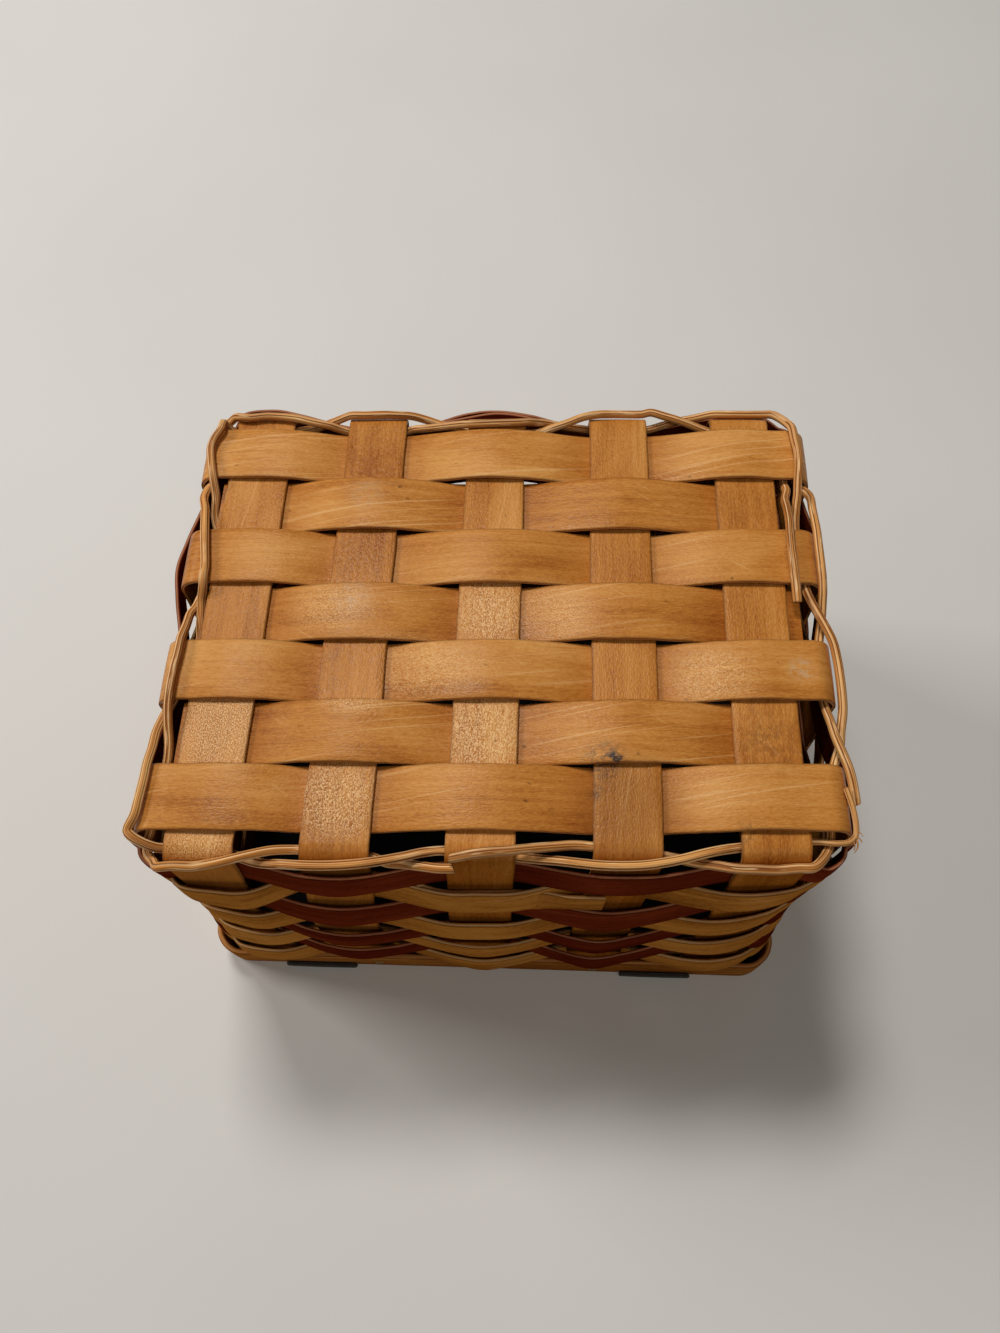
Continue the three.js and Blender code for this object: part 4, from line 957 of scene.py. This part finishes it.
# ---- strap ends ---------------------------------------------------------------------------------
def strap(name, node, x0, seed):
    face = OUT_Y + RIM_OUT_T / 2 + GAP
    inner, low, r = OUT_Y - RIM_OUT_T / 2 + 0.2, 0.15 + STRAP_T / 2, STRAP_T / 2 + 0.35
    mid = face + STRAP_T / 2
    line = [(p, low) for p in np.linspace(inner, mid - r, 5)]
    line += [(mid - r + r * math.sin(t), low + r - r * math.cos(t)) for t in np.linspace(0, math.pi / 2, 9)[1:]]
    line += [(mid, z) for z in np.linspace(low + r, STRAP_H, 6)[1:]]
    line = np.array(line)
    d = np.gradient(line, axis=0)
    d /= np.linalg.norm(d, axis=1)[:, None]
    s = length_along(line)
    sec = flat_section(STRAP_W, STRAP_T, 0.3, 16)
    ease = np.clip((s - (s[-1] - 1.2)) / 1.2, 0, 1)[:, None]  # the free end's corners are rounded

    def place(A, T):
        a = A * (1 - 0.035 * ease**2)
        p = line[:, :1] + d[:, 1:] * T * (1 - 0.25 * ease**3)
        q = line[:, 1:] - d[:, :1] * T * (1 - 0.25 * ease**3)
        return np.stack([x0 + a, -p, np.maximum(q, 0.1)], -1)

    ribbon(name, place, s, sec, False, seed, 0.5, leather_mat, [node])


strap("strap_end_left", "rim_strap_left", STRAP_X[0], 811)
strap("strap_end_right", "rim_strap_right", STRAP_X[1], 812)


# ---- brads --------------------------------------------------------------------------------------
def brad(n):
    node = f"rim_brad_{n:02d}"
    low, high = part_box(node)
    size = high - low
    axis = 0 if size.x > size.z * 1.2 else 1  # the way it is driven in
    centre = (low + high) / 2 / MM
    sign = 1 if centre[axis] > 0 else -1
    tip_to_head = size[axis] / MM
    head = sign * max(abs(low[axis]), abs(high[axis])) / MM
    rng = random.Random(900 + n)
    profile = [(0.0, 0.0), (0.35, 0.01), (0.75, 0.07), (1.1, 0.17), (1.38, 0.32), (1.48, 0.42), (1.42, 0.5), (0.62, 0.52)]
    profile += [(0.6, 1.6), (0.6, tip_to_head - 0.7), (0.38, tip_to_head - 0.25), (0.0, tip_to_head)]
    m = 28
    th = np.linspace(0, 2 * math.pi, m, endpoint=False)
    verts, rows = [], []
    dent = [1 + rng.uniform(-0.03, 0.03) for _ in range(4)]
    for r, h in profile:
        if r == 0:
            rows.append([len(verts)])
            verts.append((0, 0, h))
        else:
            rows.append(list(range(len(verts), len(verts) + m)))
            for a in th:
                k = 1 + 0.02 * math.cos(a * 2 + n) * (dent[0] if r > 0.7 else 0)
                verts.append((r * k * math.cos(a), r * k * math.sin(a), h))
    faces = []
    for a, b in zip(rows, rows[1:]):
        for j in range(m):
            k = (j + 1) % m
            if len(a) == 1:
                faces.append([a[0], b[j], b[k]])
            elif len(b) == 1:
                faces.append([a[j], b[0], a[k]])
            else:
                faces.append([a[j], b[j], b[k], a[k]])
    v = np.array(verts, float)
    along = head - sign * v[:, 2]
    if axis == 0:
        world = np.stack([along, centre.y + v[:, 0], centre.z + v[:, 1]], -1)
    else:
        world = np.stack([centre.x + v[:, 0], along, centre.z + v[:, 1]], -1)
    zero = np.zeros_like(v)
    make_piece(f"brad_{n:02d}", world, faces, zero, zero, brass_mat, [node], sharp=60)


for n in range(1, 11):
    brad(n)

# ---- floor, light, view -------------------------------------------------------------------------
def make_floor():
    me = bpy.data.meshes.new("floor")
    n, size = 24, 3.2
    xs = np.linspace(-size, size, n + 1)
    verts = [(x, y, 0.0) for y in xs for x in xs]
    faces = [(j * (n + 1) + i, j * (n + 1) + i + 1, (j + 1) * (n + 1) + i + 1, (j + 1) * (n + 1) + i) for j in range(n) for i in range(n)]
    me.from_pydata(verts, [], faces)
    s = Shader("pale_floor")
    cloud = s.noise(s.place(), 3, 0.5, 0.0, scale=6)
    pale = s.ramp(cloud, [(0.3, (0.70, 0.685, 0.66)), (0.7, (0.73, 0.715, 0.69))])
    # what closes the mouth is painted near-black: painted shade on the floor under the basket, keeping the inside dark
    at = s.split(s.place())
    qx = s.math("MAXIMUM", s.math("SUBTRACT", s.math("ABSOLUTE", at[0]), 0.0768), 0.0)
    qy = s.math("MAXIMUM", s.math("SUBTRACT", s.math("ABSOLUTE", at[1]), 0.0607), 0.0)
    inside = s.range(s.vec("LENGTH", s.join(qx, qy, 0.0), (0, 0, 0)), 0.0080, 0.0076)
    s.set(s.bsdf.inputs["Base Color"], s.mix(inside, pale, (0.012, 0.014, 0.015)))
    s.set(s.bsdf.inputs["Roughness"], s.range(cloud, 0.3, 0.7, 0.6, 0.7))
    s.bsdf.inputs["Specular IOR Level"].default_value = 0.2
    me.materials.append(s.mat)
    ob = bpy.data.objects.new("floor", me)
    bpy.context.scene.collection.objects.link(ob)


make_floor()


def area(name, at, to, size, power, colour):
    data = bpy.data.lights.new(name, "AREA")
    data.shape = "RECTANGLE"
    data.size, data.size_y = size
    data.energy = power
    data.color = colour
    ob = bpy.data.objects.new(name, data)
    ob.location = at
    ob.rotation_euler = (Vector(to) - Vector(at)).to_track_quat("-Z", "Y").to_euler()
    bpy.context.scene.collection.objects.link(ob)


area("key", (-0.30, 0.60, 1.45), (-0.02, -0.02, 0.1), (0.34, 0.28), 11.5, (1.0, 0.975, 0.94))
area("left_fill", (-1.15, 0.42, 0.95), (0, 0, 0.08), (0.5, 0.4), 8.5, (1.0, 0.98, 0.95))
area("above_front", (0.1, -0.72, 1.5), (0, -0.02, 0.06), (0.9, 0.6), 4.2, (1.0, 0.93, 0.82))

world = bpy.data.worlds.new("studio")
world.use_nodes = True
bg = world.node_tree.nodes.get("Background") or world.node_tree.nodes.new("ShaderNodeBackground")
bg.inputs["Color"].default_value = (0.98, 0.98, 1.0, 1)
bg.inputs["Strength"].default_value = 0.05
bpy.context.scene.world = world
bpy.context.scene.view_settings.view_transform = "Standard"
